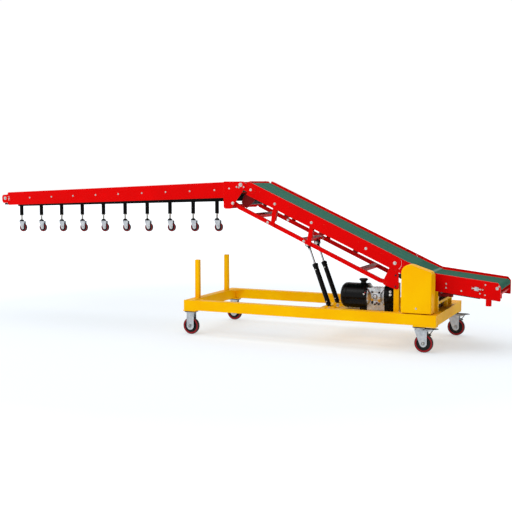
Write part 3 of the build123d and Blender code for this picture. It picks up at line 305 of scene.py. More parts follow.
# Hard chrome on a ground rod: near mirror with very fine turning marks
hardChrome = bareMetal("hardChromedRod", {
    "main": "#D9DCDF", "deep": "#C8CCD0", "edgeWearAndHighlightTint": "#F2F4F5", "grain": (20, 20, 420),
    "rough": (0.08, 0.16), "bump": 0.02})
# Drawn roller tube: turned, lightly oxidised steel
rollerSteel = bareMetal("turnedRollerSteel", {
    "main": "#8E9296", "deep": "#73777B", "edgeWearAndHighlightTint": "#B5B8BB", "grain": (90, 12, 90),
    "rough": (0.3, 0.45), "bump": 0.08})
# Sand-cast then skimmed aluminium of the pump manifold: pale, grainy, matt, with edges lightened as wear and
# as a painted highlight
castAluminium = bareMetal("castAluminiumBlock", {
    "main": "#D0D2D4", "deep": "#A9ACAF", "edgeWearAndHighlightTint": "#F4F5F6", "grain": (220, 220, 220),
    "rough": (0.22, 0.42), "bump": 0.16})
# Fasteners: electroplated zinc, a chemical black, and yellow passivate on the hydraulic fittings
boltSteel = bareMetal("zincPlatedFastener", {
    "main": "#D5D3CE", "deep": "#B4B1AA", "edgeWearAndHighlightTint": "#F0EFEC", "grain": (300, 300, 300),
    "rough": (0.25, 0.4), "bump": 0.05})
blackOxide = bareMetal("blackOxideFastener", {
    "main": "#3A3A3C", "deep": "#242426", "edgeWearAndHighlightTint": "#6E6E72", "grain": (300, 300, 300),
    "rough": (0.35, 0.5), "bump": 0.05})
yellowBrass = bareMetal("yellowPassivatedFitting", {
    "main": "#D9A441", "deep": "#B07F28", "edgeWearAndHighlightTint": "#F2CF85", "grain": (300, 300, 300),
    "rough": (0.25, 0.42), "bump": 0.05})
# Cast polyurethane tyre and side ring, nylon centre: satin, slightly soft looking
blackTyre = mouldedPlastic("blackPolyurethaneTread", {
    "main": "#0A0B0C", "deep": "#050606", "edgeWearAndHighlightTint": "#2A2C2E", "ior": 1.5, "specular": 0.3,
    "grain": 0.004, "rough": 0.36})
redTyre = mouldedPlastic("redPolyurethaneRing", {
    "main": "#A30A17", "deep": "#820610", "edgeWearAndHighlightTint": "#BE2A33", "ior": 1.5, "specular": 0.25,
    "grain": 0.004, "rough": 0.38})
blackNylon = mouldedPlastic("blackNylonCentre", {
    "main": "#08090A", "deep": "#040505", "edgeWearAndHighlightTint": "#1E2022", "ior": 1.53, "specular": 0.25,
    "grain": 0.003, "rough": 0.42})
blackRubber = mouldedPlastic("blackMouldedRubber", {
    "main": "#101011", "deep": "#080808", "edgeWearAndHighlightTint": "#2C2C2E", "ior": 1.52, "specular": 0.35,
    "grain": 0.003, "rough": 0.55})
# Phenolic insulator of the terminal, and the moulded plug of the tank
brownInsulator = mouldedPlastic("brownPhenolicPlug", {
    "main": "#5A2E12", "deep": "#42200B", "edgeWearAndHighlightTint": "#80502C", "ior": 1.6, "specular": 0.5,
    "grain": 0.003, "rough": 0.35})
redCap = mouldedPlastic("redMouldedCap", {
    "main": "#C41414", "deep": "#A50E0E", "edgeWearAndHighlightTint": "#E25050", "ior": 1.5, "specular": 0.5,
    "grain": 0.003, "rough": 0.35})

nodeFinishes = (
    (yellowEnamel, ("base_frame", "stop_posts", "pivot_posts", "drive_guard")),
    (redEnamel, ("pivot_brackets", "tail_plates", "incline_plates", "boom_plates", "boom_gussets",
                 "lift_arms", "upper_struts", "lower_struts")),
    # the incline's rollers take the black chassis paint as painted shade: they sit in shade under the belt
    (frameBlack, ("boom_spine", "boom_legs", "boom_bed", "return_cover", "incline_rollers")),
    # the incline's bed takes the red enamel darkened as painted shade
    (redDarkenedAsShade, ("incline_bed",)), (blackRubber, ("filler_cap",)), (shadedBeltWithFoldHighlight, ("tail_belt",)),
    (blackEnamel, ("hydraulic_tank", "pump_motor", "gear_motor", "lift_barrel")),
    (beltCover, ("incline_belt", "boom_belt")), (rollerSteel, ("tail_rollers", "boom_rollers")),
    (plateNavy, ("caster_plates",)), (zincPlate, ("rigid_forks", "swivel_fork", "leg_fork")),
    (hardChrome, ("lift_rod",)), (castAluminium, ("pump_block",)),
    (blackNylon, ("swivel_wheel", "rigid_wheel", "leg_wheel")))
finishOf = {family: finish for finish, families in nodeFinishes for family in families}
for nodeName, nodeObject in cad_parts.items():
    family = max((key for key in finishOf if nodeName == key or nodeName.startswith(key + "_")), key=len)
    if not nodeObject.material_slots:
        nodeObject.data.materials.append(finishOf[family])
    for materialSlot in nodeObject.material_slots:
        materialSlot.material = finishOf[family]
print("stage 2: finishes on the packed nodes")


# Shared shaping, in the drawing's millimetres

def facing(direction, place):
    # a frame at place whose local z points along direction
    turn = Vector(direction).to_track_quat("Z", "Y").to_matrix().to_4x4()
    return Matrix.Translation(place) @ turn


def outward(x, y, z):
    # a frame on a side face that looks away from the middle of the machine
    return facing((0, 1 if y > 0 else -1, 0), (x, y, z))


def ringSpots(where, count, first, radius, height):
    # frames set evenly round the local z of where, the first at an angle in degrees
    return [where @ Matrix.Rotation(math.radians(first + 360 * i / count), 4, "Z")
            @ Matrix.Translation((radius, 0, height)) for i in range(count)]


def bridge(mesh, low, high, finish=0, closed=True):
    # faces between two rows of points; a row may be a single point
    count = max(len(low), len(high))
    for i in range(count if closed else count - 1):
        j = (i + 1) % count
        corners = (low[i % len(low)], low[j % len(low)], high[j % len(high)], high[i % len(high)])
        mesh.faces.new(list(dict.fromkeys(corners))).material_index = finish


def addLoft(mesh, rings):
    # a solid through rings of points, closed at the first and the last
    for low, high in zip(rings, rings[1:]):
        bridge(mesh, low, high)
    for ring in (rings[0], rings[-1]):
        mesh.faces.new(ring)


def addBand(mesh, sections):
    # a solid band through sections, each an upper and a lower row of points
    for (top, low), (nextTop, nextLow) in zip(sections, sections[1:]):
        bridge(mesh, top + low[::-1], nextTop + nextLow[::-1])
    for top, low in (sections[0], sections[-1]):
        bridge(mesh, top, low, closed=False)


def addTurned(mesh, profile, where, segments=32, closed=False):
    # turns (radius, height, material) points round the local z of where
    rings = []
    for radius, height, finish in profile:
        angles = [2 * math.pi * i / segments for i in range(segments if radius > 0 else 1)]
        rings.append([mesh.verts.new(where @ Vector((radius * math.cos(a), radius * math.sin(a), height)))
                      for a in angles])
    pairs = list(zip(rings, rings[1:], profile[1:]))
    if closed:
        pairs.append((rings[-1], rings[0], profile[0]))
    for low, high, point in pairs:
        bridge(mesh, low, high, point[2])
    return rings


def addBlock(mesh, size, where, bevel, finish=0, rounds=2):
    made = bmesh.ops.create_cube(mesh, size=1.0, matrix=where @ Matrix.Diagonal((*size, 1.0)))
    edges = list({e for v in made["verts"] for e in v.link_edges})
    for face in {f for v in made["verts"] for f in v.link_faces}:
        face.material_index = finish
    bmesh.ops.bevel(mesh, geom=edges, offset=bevel, segments=rounds, profile=0.5, affect="EDGES",
                    material=finish)


def addHex(mesh, acrossFlats, height, where, finish=0, washer=0.0, socket=0.0):
    # a hexagon head or nut with a chamfered crown, on a washer or with a socket where one is given
    if washer:
        radius = acrossFlats * 0.98
        addTurned(mesh, [(0, 0, finish), (radius, 0, finish), (radius, washer * 0.7, finish),
                         (radius - washer * 0.3, washer, finish), (0, washer, finish)], where, 24)
    corner = acrossFlats / math.sqrt(3)
    top = washer + height
    profile = [(corner, washer, finish), (corner, washer + height * 0.78, finish),
               (corner * 0.88, top, finish)]
    if socket:
        profile += [(socket, top, finish), (socket, top - height * 0.55, finish)]
    mesh.faces.new(addTurned(mesh, profile, where, 6)[-1]).material_index = finish


def domeBolt(mesh, where, radius, height, finish=0):
    # a button head with a small socket
    addTurned(mesh, [(0, 0, finish), (radius, 0, finish), (radius * 0.96, height * 0.45, finish),
                     (radius * 0.75, height * 0.85, finish), (radius * 0.38, height, finish),
                     (radius * 0.3, height * 0.5, finish), (0, height * 0.5, finish)], where, 24)


def finishMesh(name, mesh, finishes, smoothTo, move):
    bmesh.ops.remove_doubles(mesh, verts=mesh.verts, dist=0.001)
    bmesh.ops.recalc_face_normals(mesh, faces=mesh.faces)
    mesh.transform(move)
    data = bpy.data.meshes.new(name)
    mesh.to_mesh(data)
    mesh.free()
    for finish in finishes:
        data.materials.append(finish)
    data.shade_smooth()
    data.set_sharp_from_angle(angle=math.radians(smoothTo))
    return data


def placePiece(name, data, body, origin=None):
    piece = bpy.data.objects.new(name, data)
    bpy.context.scene.collection.objects.link(piece)
    if origin:
        piece.location = framePoint(*origin)
    if body:
        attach(piece, body)
    return piece


def makePiece(name, mesh, finishes, body, smoothTo=32.0):
    return placePiece(name, finishMesh(name, mesh, finishes, smoothTo, toMetres), body)


# Wheels: the floor wheels and the hanging wheels share one turned section, scaled to each

floorWheel = {"radius": 100.0, "half": 23.0, "hub": 29.0, "bore": 10.1, "ribs": 6, "crown": 1.6,
              "segments": 72}
hangingWheel = {"radius": 55.0, "half": 16.0, "hub": 17.0, "bore": 6.1, "ribs": 5, "crown": 1.0,
                "segments": 48}


def wheelMesh(name, size):
    radius, half, hub, crown = size["radius"], size["half"], size["hub"], size["crown"]
    mesh = bmesh.new()
    # tread over a shallow crown, rounded into the red side ring, a recess, the nylon centre and the bearing
    tread = [(radius - crown * drop, half * share, 0) for share, drop in (
        (0.0, 0.0), (0.3, 0.25), (0.55, 0.7), (0.7, 1.2), (0.78, 1.6), (0.84, 2.2))]
    tyre = [(radius * out, half * share, finish) for out, share, finish in (
        (0.925, 0.87, 0), (0.915, 0.85, 1), (0.90, 0.872, 1), (0.84, 0.89, 1), (0.78, 0.872, 1),
        (0.765, 0.82, 1), (0.755, 0.70, 2), (0.73, 0.50, 2), (0.70, 0.46, 2), (0.55, 0.44, 2))]
    centre = [(hub * out, half * share, finish) for out, share, finish in (
        (1.25, 0.46, 2), (1.06, 0.55, 2), (1.0, 0.90, 2), (0.95, 0.97, 2), (0.80, 1.0, 2), (0.78, 0.93, 3),
        (0.58, 0.93, 3), (0.56, 1.0, 3))]
    side = tread + tyre + centre + [(size["bore"], half, 3)]
    mirrored = [(r, -z, finish) for r, z, finish in reversed(side)]
    # a face takes the finish of its farther point, so the mirrored half is shifted by one
    shifted = [(r, z, mirrored[i - 1][2] if i else 3) for i, (r, z, finish) in enumerate(mirrored)]
    addTurned(mesh, shifted[:-1] + side, Matrix.Rotation(math.pi / 2, 4, "X"), size["segments"], True)
    start, end = hub * 1.05, radius * 0.73
    for i in range(size["ribs"]):
        turn = Matrix.Rotation(2 * math.pi * i / size["ribs"], 4, "Y")
        for way in bothSides:
            where = turn @ Matrix.Translation(((start + end) / 2, way * half * 0.52, 0))
            addBlock(mesh, (end - start, half * 0.34, radius * 0.07), where, radius * 0.012, 2)
    return finishMesh(name, mesh, (blackTyre, redTyre, blackNylon, boltSteel), 28.0, millimetres)


casterPlan = {"places": (("rigid", "near", -1, 68.0), ("rigid", "far", 1, 68.0),
                         ("swivel", "near", -1, 2787.0), ("swivel", "far", 1, 2881.0)),
              "insetY": 590.0, "trail": 45.0, "plateZ": 266.0, "headLow": 241.0, "cheekY": 35.0, "nut": 8.0,
              "boss": 27.0, "boltX": 52.0, "boltY": 39.0, "boltFlats": 15.0}
floorWheelMesh = wheelMesh("floorWheelMesh", floorWheel)


def axleStation(kind, x):
    # a swivel caster's axle trails behind its kingpin
    return x + casterPlan["trail"] if kind == "swivel" else x


for kind, sideName, side, x in casterPlan["places"]:
    node = kind + "_wheel_" + sideName
    tyre = placePiece("turned_" + node, floorWheelMesh, kind + "_roll_" + sideName,
                      (axleStation(kind, x), side * casterPlan["insetY"], floorWheel["radius"]))
    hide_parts(node)


def addRaces(mesh, x, y):
    # the swivel head's ball races, and the kingpin's nut under them
    race = Matrix.Translation((x, y, casterPlan["headLow"]))
    addTurned(mesh, [(50.2, 2.0, 0), (53.0, 4.0, 0), (54.2, 8.5, 0), (53.0, 13.0, 0), (50.4, 15.0, 0),
                     (50.4, 17.0, 1), (52.0, 18.5, 1), (52.0, 21.0, 1), (50.0, 22.6, 1)], race, 48)
    addTurned(mesh, [(15.0, -12.6, 1), (13.0, -15.0, 1), (0, -15.0, 1)], race, 6)
    addTurned(mesh, [(15.0, -6.1, 1), (15.0, -12.6, 1)], race, 6)


for kind, sideName, side, x in casterPlan["places"]:
    # pressed boss round the axle hole, then the nut and the thread's end, on both cheeks
    mesh = bmesh.new()
    y, boss = side * casterPlan["insetY"], casterPlan["boss"]
    for way in bothSides:
        place = (axleStation(kind, x), y + way * casterPlan["cheekY"], floorWheel["radius"])
        cheek = facing((0, way, 0), place)
        addTurned(mesh, [(boss * 0.62, 0.05, 0), (boss, 0.05, 0), (boss * 0.97, boss * 0.06, 0),
                         (boss * 0.86, boss * 0.11, 0), (boss * 0.72, boss * 0.11, 0),
                         (boss * 0.66, boss * 0.05, 0), (boss * 0.62, boss * 0.05, 0)], cheek, 40)
        nut = cheek @ Matrix.Translation((0, 0, casterPlan["nut"] - 0.4))
        addTurned(mesh, [(17.0, -7.4, 1), (17.0, -1.0, 1), (16.0, 0.4, 1), (9.5, 0.4, 1)], nut, 6)
        addTurned(mesh, [(9.0, -0.5, 1), (9.0, 2.2, 1), (7.6, 3.4, 1), (0, 3.6, 1)], nut, 24)
    if kind == "swivel":
        addRaces(mesh, x, y)
    makePiece(kind + "_axle_" + sideName, mesh, (zincPlate, boltSteel),
              "swivel_" + sideName if kind == "swivel" else "base")

pedal = {"width": 54.0, "reach": 150.0, "start": 50.0, "steps": 14, "top": 260.6, "crown": 1.4, "low": 251.6,
         "tipFrom": 0.8, "ribs": 5, "ribBack": 62.0, "ribPitch": 11.0, "ribZ": 262.0,
         "leverSlope": (54.0, 38.0), "leverPlace": (80.0, 222.0), "shoeAngle": 57.0, "shoeReach": 111.5,
         "cheekPlace": (62.0, 23.0, 238.0), "cheekLean": 0.28}


def brakePedal(sideName, side, swivelX):
    # black pressed pedal over the brake arm, its top domed and its tip rounded, with five ribs
    mesh = bmesh.new()
    y = side * casterPlan["insetY"]
    axleX = swivelX + casterPlan["trail"]
    start, tip = swivelX + pedal["start"], axleX + pedal["reach"]
    sections = []
    for i in range(pedal["steps"] + 1):
        share = i / pedal["steps"]
        x = start + (tip - start) * share
        half = pedal["width"] / 2
        if share >= pedal["tipFrom"]:
            past = (share - pedal["tipFrom"]) / (1 - pedal["tipFrom"])
            half *= math.sqrt(1 - past ** 2 * 0.8)
        lift = pedal["top"] + pedal["crown"] * math.sin(math.pi * share)
        across = (-1, -0.6, -0.2, 0.2, 0.6, 1)
        sections.append(([mesh.verts.new((x, y + half * u, lift - 1.6 * abs(u) ** 3)) for u in across],
                         [mesh.verts.new((x, y + half * u, pedal["low"] + 0.5 * abs(u))) for u in across]))
    addBand(mesh, sections)
    for i in range(pedal["ribs"]):
        where = Matrix.Translation((tip - pedal["ribBack"] + i * pedal["ribPitch"], y, pedal["ribZ"]))
        addBlock(mesh, (4.0, pedal["width"] * 0.65, 2.2), where, 0.8)
    # lever down to the shoe over the tread, between two cheeks
    leverX, leverZ = pedal["leverPlace"]
    lean = Matrix.Rotation(-math.atan2(*pedal["leverSlope"]), 4, "Y")
    addBlock(mesh, (62.0, 38.0, 7.0), Matrix.Translation((axleX + leverX, y, leverZ)) @ lean, 2.0)
    shoe = math.radians(pedal["shoeAngle"])
    place = (axleX + pedal["shoeReach"] * math.cos(shoe), y,
             floorWheel["radius"] + pedal["shoeReach"] * math.sin(shoe))
    addBlock(mesh, (34.0, 40.0, 9.0),
             Matrix.Translation(place) @ Matrix.Rotation(math.pi / 2 - shoe, 4, "Y"), 2.5)
    cheekX, cheekY, cheekZ = pedal["cheekPlace"]
    for way in bothSides:
        where = Matrix.Translation((axleX + cheekX, y + way * cheekY, cheekZ))
        addBlock(mesh, (74.0, 3.0, 18.0), where @ Matrix.Rotation(-pedal["cheekLean"], 4, "Y"), 1.0, 1)
    makePiece("brake_pedal_" + sideName, mesh, (blackRubber, zincPlate), "swivel_" + sideName,
              40)


for kind, sideName, side, x in casterPlan["places"]:
    if kind == "swivel":
        brakePedal(sideName, side, x)

mesh = bmesh.new()
for kind, sideName, side, x in casterPlan["places"]:
    for wayX in bothSides:
        for wayY in bothSides:
            y = side * casterPlan["insetY"] + wayY * casterPlan["boltY"]
            under = facing((0, 0, -1), (x + wayX * casterPlan["boltX"], y, casterPlan["plateZ"]))
            addHex(mesh, casterPlan["boltFlats"], 7.0, under, 0, 1.6)
makePiece("caster_plate_nuts", mesh, (boltSteel,), "base")

# dark dipped rim round the rigid casters' zinc top plates
plateRim = {"cornerX": 55.5, "cornerY": 40.5, "round": 12.5,
            "rings": ((0.98894, 265.8), (1.004, 266.4), (1.004, 275.9))}
mesh = bmesh.new()
for kind, sideName, side, x in casterPlan["places"]:
    if kind == "rigid":
        outline = []
        for cx, cy, start in ((1, 1, 0), (-1, 1, 90), (-1, -1, 180), (1, -1, 270)):
            for i in range(5):
                angle = math.radians(start + i * 22.5)
                outline.append((cx * plateRim["cornerX"] + plateRim["round"] * math.cos(angle),
                                cy * plateRim["cornerY"] + plateRim["round"] * math.sin(angle)))
        rings = [[mesh.verts.new((x + grow * dx, side * casterPlan["insetY"] + grow * dy, z))
                  for dx, dy in outline] for grow, z in plateRim["rings"]]
        for low, high in zip(rings, rings[1:]):
            bridge(mesh, low, high)
makePiece("rigid_plate_rims", mesh, (plateNavy,), "base")
print("stage 3: floor casters")

# Hanging casters under the boom

legPlan = {"firstX": 112.0, "pitch": 329.0, "axleZ": 1231.0, "lineSlope": 1.41, "axleDrop": 106.0,
           "trail": 25.0, "cheekY": 23.0, "count": 10, "threadTurns": 10, "threadPitch": 5.0}
hangingWheelMesh = wheelMesh("hangingWheelMesh", hangingWheel)


def legPlace(index):
    run = index * legPlan["pitch"]
    return legPlan["firstX"] - run, legPlan["axleZ"] - run * math.tan(math.radians(legPlan["lineSlope"]))


def legHeadMesh():
    # flared dust cover of the swivel bearing and the axle's dress, round the swivel axis at z = 0
    mesh = bmesh.new()
    addTurned(mesh, [(30.0, -22.0, 0), (31.6, -21.6, 0), (31.95, -19.0, 0), (31.0, -15.0, 0),
                     (27.5, -9.0, 0), (23.0, -4.6, 0), (19.4, -2.0, 0), (18.6, -0.2, 0), (12.0, 0.4, 0)],
              Matrix.Identity(4), 40)
    for way in bothSides:
        where = facing((0, way, 0), (legPlan["trail"], way * legPlan["cheekY"], -legPlan["axleDrop"]))
        addTurned(mesh, [(12.4, 0.0, 1), (16.5, 0.0, 1), (16.2, 1.3, 1), (12.6, 1.5, 1)], where, 28)
        addTurned(mesh, [(13.4, 0.2, 2), (13.4, 3.4, 2), (12.0, 4.6, 2), (5.4, 4.6, 2)], where, 6)
        addTurned(mesh, [(5.2, 4.2, 2), (5.2, 6.2, 2), (4.2, 7.0, 2), (0, 7.1, 2)], where, 18)
    return finishMesh("hangingHeadMesh", mesh, (blackRubber, zincPlate, boltSteel), 35.0, millimetres)


headMesh = legHeadMesh()
stemMesh = bmesh.new()
for index in range(legPlan["count"]):
    label = "%02d" % (index + 1)
    legX, legZ = legPlace(index)
    legTyre = placePiece("turned_leg_wheel_" + label, hangingWheelMesh, "leg_roll_" + label,
                         (legX + legPlan["trail"], 0, legZ))
    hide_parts("leg_wheel_" + label)
    head = legZ + legPlan["axleDrop"]
    placePiece("leg_head_" + label, headMesh, "leg_swivel_" + label, (legX, 0, head))
    # rolled thread on the stem, its pitch drawn at 5 mm, with a locknut below the tube and a foot washer
    thread = [(11.1, 1.6, 0)]
    for turn in range(legPlan["threadTurns"]):
        z = 3.0 + turn * legPlan["threadPitch"]
        thread += [(11.2, z, 0), (12.3, z + 1.8, 0), (12.3, z + 2.6, 0), (11.2, z + 4.4, 0)]
    stemBase = Matrix.Translation((legX, 0, head))
    addTurned(stemMesh, thread, stemBase, 24)
    addTurned(stemMesh, [(11.3, 50.6, 0), (20.6, 50.8, 0), (21.4, 52.2, 0), (21.4, 60.0, 0), (20.2, 61.9, 0),
                         (18.2, 61.9, 0)], stemBase, 6)
    addTurned(stemMesh, [(24.2, 62.3, 1), (25.6, 62.6, 1), (25.6, 71.0, 1), (24.2, 72.0, 1)], stemBase, 32)
makePiece("leg_stem_threads", stemMesh, (boltSteel, frameBlack), "boom", 28)
print("stage 4: hanging casters")


# Belts: one cover seen over both joints

beltLine = {"top": 51.0, "proud": 1.6, "endShare": 0.15, "under": 3.0, "halfWidth": 300.2,
            "boomFar": (250.0, 69.33), "boomNear": (62.0, 70.4), "drum": 86.0, "wrap": (-1.0, 25.5),
            "crestEnds": (110.0, 260.0), "pivotEnds": (1840.0, 2226.0), "pivotBend": (1947.0, 2144.0)}


def beltStrip(name, path):
    # a band along path, (x, z) points on the belt's upper skin, with a thickness below it
    mesh = bmesh.new()
    across = (-beltLine["halfWidth"], -200, -100, 0, 100, 200, beltLine["halfWidth"])
    sections = []
    for i, (x, z) in enumerate(path):
        x0, z0 = path[max(i - 1, 0)]
        x1, z1 = path[min(i + 1, len(path) - 1)]
        length = math.hypot(x1 - x0, z1 - z0)
        nx, nz = (z0 - z1) / length, (x1 - x0) / length
        up = beltLine["proud"] * (beltLine["endShare"] if i in (0, len(path) - 1) else 1.0)
        sections.append([[mesh.verts.new((x + nx * rise, y, z + nz * rise)) for y in across]
                         for rise in (up, -beltLine["under"])])
    addBand(mesh, sections)
    return makePiece(name, mesh, (beltCover,), None, 50)


def along(start, end, count):
    # evenly spaced points from start, without the end
    return [(start[0] + (end[0] - start[0]) * i / count, start[1] + (end[1] - start[1]) * i / count)
            for i in range(count)]


boomEdge = boomPoint(*beltLine["boomNear"])
drumX, drumZ = inclinePoint(beltLine["drum"], 0)
wrapFrom, wrapBy = beltLine["wrap"]
drumArc = [(drumX + beltLine["top"] * math.sin(a), drumZ + beltLine["top"] * math.cos(a))
           for a in (math.radians(wrapFrom + wrapBy * i / 8) for i in range(9))]
crestStart, crestEnd = [inclinePoint(s, beltLine["top"]) for s in beltLine["crestEnds"]]
crestPath = along(boomPoint(*beltLine["boomFar"]), boomEdge, 6) + along(boomEdge, drumArc[0], 6) + drumArc
crestBelt = beltStrip("crest_belt", crestPath + along(crestStart, crestEnd, 4) + [crestEnd])
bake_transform(crestBelt)
pivotStart, pivotEnd, bendFrom, bendTo = [inclinePoint(s, beltLine["top"])
                                          for s in beltLine["pivotEnds"] + beltLine["pivotBend"]]
pivotBelt = beltStrip("pivot_belt", along(pivotStart, pivotEnd, 20) + [pivotEnd])
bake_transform(pivotBelt)
print("stage 5: belts over the joints")


# Skirts: the folded strips inside each rail that close the gap down to the belt's edge

skirt = {"inclineY": 335.0, "boomY": 340.3, "beltEdge": 302.0, "thick": 2.5, "inclineTop": 74.6,
         "inclineLow": 47.0, "inset": 0.4, "lowDrop": 28.0, "boomEnds": (174.0, 3345.0),
         "inclineEnds": (70.0, 1945.0), "tailStart": 2158.0, "tailEnd": 3532.0}


def addSkirt(mesh, stations, y, side):
    # an L-shaped strip through stations, each an upper and a lower (x, z) point
    thick, inner = skirt["thick"], skirt["beltEdge"]
    rings = []
    for (topX, topZ), (lowX, lowZ) in stations:
        section = ((y, topX, topZ), (y, lowX, lowZ - thick), (inner, lowX, lowZ - thick),
                   (inner, lowX, lowZ), (y - thick, lowX, lowZ), (y - thick, topX, topZ))
        rings.append([mesh.verts.new((x, side * across, z)) for across, x, z in section])
    addLoft(mesh, rings)


def inclineStation(s):
    return inclinePoint(s, skirt["inclineTop"]), inclinePoint(s, skirt["inclineLow"])


def boomStation(s):
    # the boom's plates taper along their length
    top = drawing["boomHalf"] - drawing["boomTaper"] * (s - drawing["boomFirst"]) / drawing["boomLength"]
    return boomPoint(s, top - skirt["inset"]), boomPoint(s, top - skirt["lowDrop"])


mitre = (slope + tailFall) / 2
kinkTop = tailPoint(drawing["kinkX"], skirt["inset"])
kinkLow = (kinkTop[0] - skirt["lowDrop"] * math.sin(mitre), kinkTop[1] - skirt["lowDrop"] * math.cos(mitre))
tailStations = (inclineStation(skirt["tailStart"]), (kinkTop, kinkLow),
                (tailPoint(skirt["tailEnd"], skirt["inset"]),
                 tailPoint(skirt["tailEnd"] - 3.0, skirt["lowDrop"])))
for name, body, stations, y in (
        ("boom_skirts", "boom", [boomStation(s) for s in skirt["boomEnds"]], skirt["boomY"]),
        ("incline_skirts", "incline", [inclineStation(s) for s in skirt["inclineEnds"]], skirt["inclineY"]),
        ("tail_skirts", "base", tailStations, skirt["inclineY"])):
    mesh = bmesh.new()
    for side in bothSides:
        addSkirt(mesh, stations, y, side)
    makePiece(name, mesh, (redEnamel,), body)


def addPlate(mesh, outline, *edges):
    # a plate with an (x, z) outline between two distances across
    addLoft(mesh, [[mesh.verts.new((x, y, z)) for x, z in outline] for y in edges])


# tongues that carry the incline's side plates and their top flanges on to the crest
tongue = {"tip": 62.0, "root": 111.0, "flangeEnd": 150.5, "round": 22.0, "top": 74.8, "low": 12.0,
          "chamfer": 20.0, "outer": 352.8, "inner": 348.2, "flangeIn": 335.3, "flangeThick": 4.6,
          "flangeN": 72.4}
mesh = bmesh.new()
edge = [(tongue["root"], tongue["top"])]
for i in range(9):
    a = math.pi / 2 * (1 + i / 8)
    edge.append((tongue["tip"] + tongue["round"] * (1 + math.cos(a)),
                 tongue["top"] - tongue["round"] * (1 - math.sin(a))))
edge += [(tongue["tip"], tongue["low"] + tongue["chamfer"]),
         (tongue["tip"] + tongue["chamfer"], tongue["low"]), (tongue["root"], tongue["low"])]
flangeStart = tongue["tip"] + tongue["round"]
flangeX, flangeZ = inclinePoint((flangeStart + tongue["flangeEnd"]) / 2, tongue["flangeN"])
for side in bothSides:
    addPlate(mesh, [inclinePoint(s, n) for s, n in edge], side * tongue["inner"], side * tongue["outer"])
    where = Matrix.Translation((flangeX, side * (tongue["outer"] + tongue["flangeIn"]) / 2, flangeZ))
    addBlock(mesh, (tongue["flangeEnd"] - flangeStart, tongue["outer"] - tongue["flangeIn"],
                    tongue["flangeThick"]), where @ Matrix.Rotation(slope, 4, "Y"), 1.0)
makePiece("crest_tongues", mesh, (redEnamel,), "incline", 40)

# sickle plates that close the notch between the incline's round ends and the feed section's plates
pivotCover = {"clear": 77.0, "edge": 74.8, "start": 88.0, "outer": 352.8, "inner": 348.4, "steps": 24}
mesh = bmesh.new()
tipAngle = math.asin(pivotCover["edge"] / pivotCover["clear"])
for side in bothSides:
    rings = []
    for i in range(pivotCover["steps"] + 1):
        angle = tipAngle * (1 - 2 * i / pivotCover["steps"])
        s, n = pivotCover["clear"] * math.cos(angle), pivotCover["clear"] * math.sin(angle)
        curved = inclinePoint(drawing["inclineLength"] + s, n)
        straight = inclinePoint(drawing["inclineLength"] + pivotCover["start"], n)
        rings.append([mesh.verts.new((x, side * y, z)) for (x, z), y in (
            (curved, pivotCover["inner"]), (straight, pivotCover["inner"]), (straight, pivotCover["outer"]),
            (curved, pivotCover["outer"]))])
    addLoft(mesh, rings)
makePiece("pivot_covers", mesh, (redEnamel,), "base", 40)

# rails under the feed section, hung inside its plates, in the red enamel darkened as painted shade
tailRail = {"ends": (2914.0, 3079.0), "low": 570.0, "high": 605.0, "y": 336.0, "thick": 8.0,
            "hangerInset": 18.0, "hangerTop": 668.0, "hangerY": 342.4, "boltY": 344.9}
mesh = bmesh.new()
first, last = tailRail["ends"]
railZ = (tailRail["low"] + tailRail["high"]) / 2
for side in bothSides:
    addBlock(mesh, (last - first, tailRail["thick"], tailRail["high"] - tailRail["low"]),
             Matrix.Translation(((first + last) / 2, side * tailRail["y"], railZ)), 2.0)
    for x in (first + tailRail["hangerInset"], last - tailRail["hangerInset"]):
        middle = (x, side * tailRail["hangerY"], (tailRail["hangerTop"] + tailRail["low"]) / 2)
        addBlock(mesh, (30.0, 5.0, tailRail["hangerTop"] - tailRail["low"]), Matrix.Translation(middle), 1.5)
        domeBolt(mesh, outward(x, side * tailRail["boltY"], railZ), 8.0, 4.5, 1)
makePiece("tail_rails", mesh, (redDarkenedAsShade, blackOxide), "base")

# struts: upright channels whose foot reaches back along the arm to its pin
strut = {"inner": 319.2, "outer": 328.9, "half": 25.0, "footHalf": 18.0, "offset": 60.0, "flangeDepth": 42.0,
         "flange": (72.0, 196.0), "wall": 5.0, "arcSteps": 12}
armWay, armUp = Vector((math.cos(slope), -math.sin(slope))), Vector((math.sin(slope), math.cos(slope)))


def meet(p, u, q, a):
    # where the line through p along u crosses the line through q along a
    return q + a * ((p - q).cross(u) / a.cross(u))


